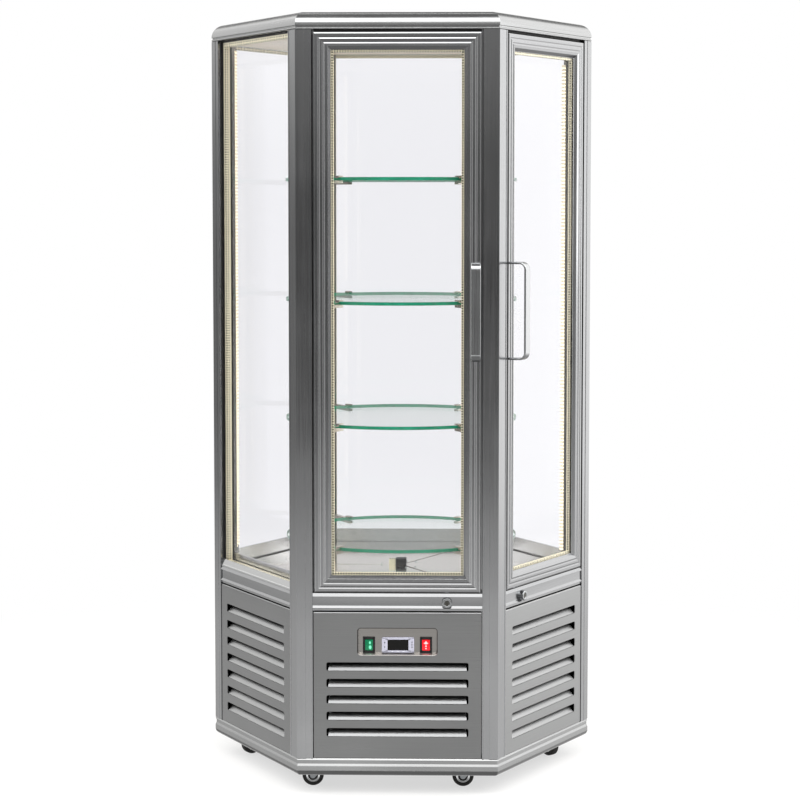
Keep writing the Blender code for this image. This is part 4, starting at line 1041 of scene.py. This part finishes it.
cut_near = panel_setback - 0.004
cut_far = panel_setback + 0.008
front_louvres = (5, 0.0381, 0.0505, 0.1625)      # count, pitch, height of the first, half width
side_louvres = (7, 0.0405, 0.0320, 0.1600)
pocket_half = 0.0905
pocket_low = heights("front_base_panel")[0] + 0.2408
pocket_high = pocket_low + 0.0605
pocket_corner = 0.007
lead_hole_radius = 0.011
lead_hole_side = 0.100
lead_hole_rise = 0.016
pad_margin = 0.006
pad_thickness = 0.003
for name in face_turns:
    low, high = heights(f"{name}_base_panel")
    count, pitch, start, half = front_louvres if name == "front" else side_louvres
    feet = [low + start + step * pitch for step in range(count)]
    cutters = [rounded_prism(half, foot, foot + slot_height, cut_near, cut_far, slot_corner)
               for foot in feet]
    if name == "front":
        lip = pocket_lip - 0.0001
        cutters.append(rounded_prism(pocket_half + lip, pocket_low - lip, pocket_high + lip,
                                     cut_near, cut_far, pocket_corner + lip))
    if name == "rear":
        ends = (at(lead_hole_side, depth, low + lead_hole_rise) for depth in (cut_near, cut_far))
        cutters.append(bar(lead_hole_radius, *ends, 32))
    bm = joined(cut_sheet(folded_blank(low, high), joined(*cutters)),
                *[flap(half - 0.001, foot) for foot in feet])
    piece(f"{name}_louvred_panel", on_face(bm, name), panel_steel, "cabinet",
          [f"{name}_base_panel"])
    # The pad is near black and hardly shines: painted shade inside the base, seen through the slots.
    pad = slab(at(-half - pad_margin, pad_depth, feet[0] - 0.008),
               at(half + pad_margin, pad_depth + pad_thickness, feet[-1] + slot_height + 0.004),
               0.001)
    piece(f"{name}_shade_pad", on_face(pad, name), shade_felt, "cabinet")


# Control pocket: pressed back into the front panel's steel, with a rounded lip all round and a
# leaning foot that catches the light.
pocket_lean = 0.0005
pocket_foot = 0.0034
bm = rounded_prism(pocket_half + pocket_lip, pocket_low - pocket_lip, pocket_high + pocket_lip,
                   panel_setback + 0.00005, pocket_floor + 0.0012, pocket_corner + pocket_lip)


def front_face(bm):
    """The largest face that looks out."""
    bm.normal_update()
    return max((f for f in bm.faces if f.normal.y < -0.9), key=lambda f: f.calc_area())


bmesh.ops.recalc_face_normals(bm, faces=bm.faces)
floor_face = front_face(bm)
for step in range(5):
    start, end = (math.radians(18 * (step + more)) for more in (0, 1))
    bmesh.ops.inset_individual(bm, faces=[floor_face],
                               thickness=pocket_lip * (math.sin(end) - math.sin(start)),
                               depth=-pocket_lip * (math.cos(start) - math.cos(end)))
bmesh.ops.inset_individual(bm, faces=[floor_face], thickness=pocket_lean,
                           depth=panel_setback + pocket_lip - pocket_floor)
lower = [v for v in floor_face.verts if v.co.z < pocket_low + 0.012]
bmesh.ops.translate(bm, verts=lower, vec=(0, 0, pocket_foot))
bm.normal_update()
for face in bm.faces:
    middle = face.calc_center_median()
    deep = middle.y > panel_setback + 0.0001 - apothem and face.normal.y > -0.97
    face.material_index = 1 if deep and face.normal.z < 0.3 else 0
# The foot and floor are satin and warm. The walls, which the press left rough, are painted dark:
# painted shade inside the pocket.
pocket_steel = brushed("satin_stainless_pocket", "#aba8a5", 0.30, level_grain, 0.00002)
pocket_shade = brushed("pocket_wall_painted_shade", "#444445", 0.45, level_grain, 0.00002)
piece("control_pocket", on_face(bm, "front"), [pocket_steel, pocket_shade], "cabinet")


# Control unit: a grey controller with a dark display and its keys, and a black bezel for each rocker
# switch, all clipped into the pocket's floor. Moulded ABS, the display a smoked acrylic window.
device_z = pocket_low + 0.02155
controller_side = 0.0013
switch_side = 0.0652
device_seat = pocket_floor - seat_gap
# ABS is matt, with a lavender cast on the controller. The keys are darker silicone, the marks are pad
# printed in white, and the acrylic window is all but black with a faint gloss.
abs_grey = grained("moulded_abs_lavender_grey", "#a3a3b3", "#b9b9c8", 0.45, 900.0)
abs_black = grained("moulded_abs_black", "#101011", "#1b1b1c", 0.35, 900.0)
key_rubber = grained("silicone_rubber_keys", "#2c2d35", "#3b3c46", 0.5, 900.0)
mark_white = grained("white_pad_print", "#e4e4ee", "#f4f4fb", 0.4, 900.0)
display = grained("smoked_acrylic_display", "#050505", "#0e0d0c", 0.075, 60.0, spread=0.045, relief=0.0,
                  more={"IOR": 1.49, "Specular IOR Level": 0.15})


def device(along, width, height, thickness, corner, ease):
    """A moulded block on the pocket's floor with a rounded outline and an eased front."""
    bm = rounded_prism(width / 2, device_z - height / 2, device_z + height / 2,
                       device_seat - thickness, device_seat, corner)
    bmesh.ops.recalc_face_normals(bm, faces=bm.faces)
    eased(bm, list(front_face(bm).edges), ease)
    return moved(bm, (along, 0, 0))


controller_width = 0.074
controller_height = 0.035
controller_rim = 0.0043
rim_end_extra = 0.0080           # how much wider the controller's rim is at each end
controller = device(controller_side, controller_width, controller_height, 0.004, 0.0025, 0.0007)
window = front_face(controller)
bmesh.ops.inset_individual(controller, faces=[window], thickness=controller_rim)
for vert in window.verts:
    vert.co.x += rim_end_extra if vert.co.x < controller_side else -rim_end_extra
bmesh.ops.inset_individual(controller, faces=[window], thickness=0.0002, depth=-0.0012)
window.material_index = 1
bmesh.ops.inset_individual(controller, faces=[window], thickness=0.0028, depth=0.0004)
piece("controller_housing", on_face(controller, "front"), [abs_grey, display], "cabinet",
      ["control_unit"])
keys = []
for along, rise in ((-0.0305, 0.0055), (-0.0305, -0.0045), (0.0320, 0.0065), (0.0320, 0.0008),
                    (0.0320, -0.0050)):
    spot = at(controller_side + along, device_seat - 0.004, device_z + rise)
    keys.append(bar(0.0014, spot + Vector((0, 0.0004, 0)), spot - Vector((0, 0.0005, 0)), 20, 0.0003))
piece("controller_keys", on_face(joined(*keys), "front"), key_rubber, "cabinet")
marks = [slab(at(controller_side + along - half, device_seat - 0.0043, device_z - 0.0152),
              at(controller_side + along + half, device_seat - 0.0038, device_z - 0.0142), 0.0002)
         for along, half in ((-0.0125, 0.0022), (0.0, 0.0032), (0.0125, 0.0022))]
piece("controller_marks", on_face(joined(*marks), "front"), mark_white, "cabinet")

bezel_width = 0.028
bezel_height = 0.037
bezel_rim = 0.0042
rocker_half = 0.0122
rocker_half_width = 0.0088
rocker_tilt = math.radians(10)
rocker_pivot = Vector((pocket_floor + 0.003, device_z))


def lens(name, colour, glow, marks):
    """A tinted polycarbonate lens, lit from within: it glows, and nearly white in spots that are its
    symbols and painted highlights. They are (along, height, half width, half height)."""
    made, tree = material(name)
    place = add(tree, "TexCoord").outputs["Object"]
    lit = None
    for along, rise, wide, high in marks:
        middle = at(along, 0, device_z + rise)
        offset = add(tree, "VectorMath", {0: place, 1: (middle.x, 0, middle.z)}, operation="SUBTRACT")
        scaled = add(tree, "VectorMath", {0: offset, 1: (1 / wide, 0, 1 / high)},
                     operation="MULTIPLY")
        reach = add(tree, "VectorMath", {0: scaled}, operation="LENGTH")
        glow_spot = add(tree, "MapRange", {"Value": reach, "From Min": 1.0, "From Max": 0.45},
                   interpolation_type="SMOOTHSTEP")
        lit = glow_spot if lit is None else add(tree, "Math", {0: lit, 1: glow_spot}, operation="MAXIMUM")
    tone = add(tree, "Mix", {0: lit, 6: linear(colour), 7: linear(glow)}, data_type="RGBA")
    power = add(tree, "MapRange", {"Value": lit, "To Min": 0.55, "To Max": 1.0})
    body = add(tree, "BsdfPrincipled", {"Base Color": linear(colour), "Roughness": 0.12,
                                        "Emission Color": tone,
                                        "Emission Strength": power})
    add(tree, "OutputMaterial", {"Surface": body})
    return made


green_lens = lens("green_polycarbonate_lens", "#06603e", "#8dffd2", (
    (-switch_side + 0.0022, 0.0048, 0.0030, 0.0052), (-switch_side + 0.0026, -0.0060, 0.0042, 0.0062)))
red_lens = lens("red_polycarbonate_lens", "#d81420", "#fff1f0", (
    (switch_side, 0.0040, 0.0066, 0.0030), (switch_side, 0.0050, 0.0030, 0.0058),
    (switch_side, -0.0030, 0.0026, 0.0026), (switch_side, -0.0085, 0.0022, 0.0022)))
for name, side, finish in (("green", -1, green_lens), ("red", 1, red_lens)):
    bezel = device(side * switch_side, bezel_width, bezel_height, 0.002, 0.0022, 0.0005)
    opening = front_face(bezel)
    bmesh.ops.inset_individual(bezel, faces=[opening], thickness=bezel_rim)
    bmesh.ops.inset_individual(bezel, faces=[opening], thickness=0.0001, depth=-0.0135)
    piece(f"{name}_switch_bezel", on_face(bezel, "front"), abs_black, "cabinet")
    turn = Matrix.Rotation(rocker_tilt, 2)
    section = [turn @ Vector(point) + rocker_pivot for point in (
        (-0.0065, -rocker_half), (-0.0052, -rocker_half / 2), (-0.0046, 0), (-0.0052, rocker_half / 2),
        (-0.0065, rocker_half), (-0.0005, rocker_half), (0.0055, rocker_half / 2),
        (0.0055, -rocker_half / 2), (-0.0005, -rocker_half))]
    bm = beam([tuple(point) for point in section], rocker_half_width, side * switch_side)
    eased(bm, bm.edges[:], 0.0005)
    piece(f"{name}_rocker_lens", on_face(bm, "front"), finish, f"{name}_rocker",
          [f"{name}_rocker"])


# Shelves: 8 mm float glass discs with a ground and polished rim, which shows the deep green of glass
# seen edge on. Four polished uprights stand in the posts' corners, and their clips grip each rim.
# The discs are clear, and their rims gather the green of the whole sheet under a polished gloss. The
# uprights are polished, and their warm tint is painted reflection of the colours round them.
shelf_glass = glass("ground_glass_shelf", "#fbfdfc")
shelf_rim = grained("ground_glass_shelf_cut_edge", "#127a5a", "#2a9c78", 0.12, 40.0, spread=0.0,
                    relief=0.0, more={"Coat Weight": 0.6, "Coat Roughness": 0.05})
polished_steel_painted_reflection = brushed("mirror_polished_stainless_painted_tint", "#d3cec4", 0.13, (9.0, 9.0, 9.0), 0.00005)
shelf_radius = 0.281
shelf_segments = 160
rim_ease = 0.0006
shelf_turns = [math.tau * step / shelf_segments for step in range(shelf_segments)]
for number in range(1, 5):
    low, high = heights(f"shelf_{number}")
    bm = prism([(shelf_radius * math.cos(a), shelf_radius * math.sin(a)) for a in shelf_turns], low, high)
    eased(bm, end_edges(bm), rim_ease)
    bmesh.ops.recalc_face_normals(bm, faces=bm.faces)
    for face in bm.faces:
        face.material_index = 0 if len(face.verts) > 4 else 1
    piece(f"shelf_disc_{number}", moved(bm, (0, centre_y, 0)), [shelf_glass, shelf_rim], "cabinet",
          [f"shelf_{number}"])
for name in ("front_left", "front_right", "rear_right", "rear_left"):
    piece(f"{name}_shelf_upright", softened(f"{name}_shelf_support", 0.0009), polished_steel_painted_reflection, "cabinet",
          [f"{name}_shelf_support"])


# Chamber floor: a polished stainless sheet with three lift-out plates over the cooling coil. Their
# seams run to the corners. A perforated cover stands over the drain and the temperature probe.
# Mirror polish gives back the shelves and strips above, and the deck's pale, warm colour is painted
# reflection of them too. The screws are chromed and glint as points.
deck_steel_painted_reflection = brushed("mirror_stainless_deck_painted_reflection", "#f3f0ea", 0.10, (7.0, 7.0, 7.0), 0.00030)
chrome = brushed("chromed_steel", "#c9cbcd", 0.12, (90.0, 90.0, 90.0), 0.00001)
deck_z = crossbar_top
deck_low, deck_high = heights("chamber_deck")
plate_thickness = 0.0016
underlay_low = deck_z - 0.003
plate_seam = 0.0035              # from the deck's middle to each plate's corner
plate_margin = 0.010
plate_corner = 0.012
underlay_margin = 0.006
foot_share = 0.80                # of the way to the inner corners
cover_half = 0.013


def outward(degrees, reach):
    """A point at this angle and distance from the origin, on the floor."""
    return Vector((math.cos(math.radians(degrees)), math.sin(math.radians(degrees)), 0)) * reach


plates = []
for start in (60, 180, 300):
    edge = (apothem - inner_face - plate_margin) / cos30
    spots = [(0.0, 0.0)] + [outward(start + step, edge).xy for step in (0, 60, 120)]
    bm = moved(prism(spots, deck_z - plate_thickness, deck_z), outward(start + 60, plate_seam))
    eased(bm, upright_edges(bm, plate_thickness), plate_corner, 6)
    top = [e for e in bm.edges if min(v.co.z for v in e.verts) > deck_z - 0.0001]
    eased(bm, top, 0.0006)
    plates.append(moved(bm, (0, centre_y, 0)))
piece("deck_plates", joined(*plates), deck_steel_painted_reflection, "cabinet", ["chamber_deck"])
deck_sheet = prism(hexagon(inner_face + underlay_margin), underlay_low, deck_z - plate_thickness)
piece("deck_underlay", deck_sheet, tyre_rubber, "cabinet")
vent = slab((-cover_half - 0.0165, centre_y - 0.010, deck_z),
            (-cover_half - 0.0005, centre_y + 0.010, deck_z + 0.0145), 0.0008)
piece("probe_vent", vent, spacer_metal, "cabinet")
feet = []
for step in range(6):
    foot = outward(60 * step, (apothem - inner_face) / cos30 * foot_share) + Vector((0, centre_y, 0))
    feet.append(bar(0.008, foot + Vector((0, 0, deck_low)), foot + Vector((0, 0, underlay_low)),
                    edge=0.0008))
piece("deck_feet", joined(*feet), stainless, "cabinet")
bm = slab((-cover_half, centre_y - cover_half, deck_z), (cover_half, centre_y + cover_half, deck_high),
          0.0015, 3)
piece("drain_cover", bm, abs_black, "cabinet")
screw_radius = 0.004
screws = []
for reach in (0.05, 0.30):
    for turn in (75, 165, 195, 285, 315, 45):
        bm = bmesh.new()
        bmesh.ops.create_uvsphere(bm, u_segments=20, v_segments=12, radius=screw_radius)
        cut = bmesh.ops.bisect_plane(bm, geom=bm.verts[:] + bm.edges[:] + bm.faces[:],
                                     plane_co=(0, 0, screw_radius / 2), plane_no=(0, 0, -1),
                                     clear_outer=True)
        rim = [e for e in cut["geom_cut"] if isinstance(e, bmesh.types.BMEdge)]
        bmesh.ops.contextual_create(bm, geom=rim)
        bmesh.ops.recalc_face_normals(bm, faces=bm.faces)
        screws.append(moved(bm, outward(turn, reach) + Vector((0, centre_y, deck_z - screw_radius / 2))))
piece("deck_screws", joined(*screws), chrome, "cabinet")


# Cooling unit: an evaporator coil in a stainless tub under the chamber, and on the tray a hermetic
# compressor beside a finned condenser. Both coils have a small fan.
# Stoved enamel has a slight orange peel under its gloss. The fins are drawn as lines of light and dark.
black_enamel, tree = material("black_stoved_enamel")
place = add(tree, "TexCoord").outputs["Object"]
peel = add(tree, "TexNoise", {"Vector": place, "Scale": 400.0, "Detail": 1.0})
ripple = add(tree, "Bump", {"Height": peel, "Strength": 0.2, "Distance": 0.0002})
settled = add(tree, "TexNoise", {"Vector": place, "Scale": 12.0, "Detail": 3.0})
tone = add(tree, "Mix", {0: settled, 6: linear("#101011"), 7: linear("#26262a")},
           data_type="RGBA")
enamel = add(tree, "BsdfPrincipled", {"Base Color": tone, "Roughness": 0.28,
                                      "Normal": ripple})
add(tree, "OutputMaterial", {"Surface": enamel})
fin_stack, tree = material("aluminium_fin_stack")
across = add(tree, "SeparateXYZ", {0: add(tree, "TexCoord").outputs["Object"]}).outputs["X"]
fin_pitch = 0.0025
turns = add(tree, "Math", {0: across, 1: math.tau / fin_pitch}, operation="MULTIPLY")
wave = add(tree, "Math", {0: turns}, operation="SINE")
gap = add(tree, "MapRange", {"Value": wave, "From Min": -0.6, "From Max": 0.2},
          interpolation_type="SMOOTHSTEP")
tone = add(tree, "Mix", {0: gap, 6: linear("#1d1e20"), 7: linear("#b9bcbf")}, data_type="RGBA")
bump = add(tree, "Bump", {"Height": gap, "Strength": 0.6, "Distance": 0.0008})
fins = add(tree, "BsdfPrincipled", {"Base Color": tone, "Metallic": 0.9, "Roughness": 0.4,
                                    "Normal": bump})
add(tree, "OutputMaterial", {"Surface": fins})
for node, made, finish, body, slot, width in (
    ("evaporator_tub", "evaporator_tub_shell", stainless, "cabinet", "brushed_stainless", 0.0010),
    ("evaporator", "evaporator_coil", fin_stack, "cabinet", "coil_aluminium", 0.0008),
    ("condenser", "condenser_coil", fin_stack, "cabinet", "coil_aluminium", 0.0008),
    ("compressor", "compressor_shell", black_enamel, "cabinet", "black_enamel", 0.0020),
    ("condenser_fan_blade", "condenser_fan_rotor", abs_black, "condenser_fan", "black_plastic", 0.0006),
    ("evaporator_fan_blade", "evaporator_fan_rotor", abs_black, "evaporator_fan", "black_plastic", 0.0006),
):
    piece(made, softened(node, width), finish, body, [node])
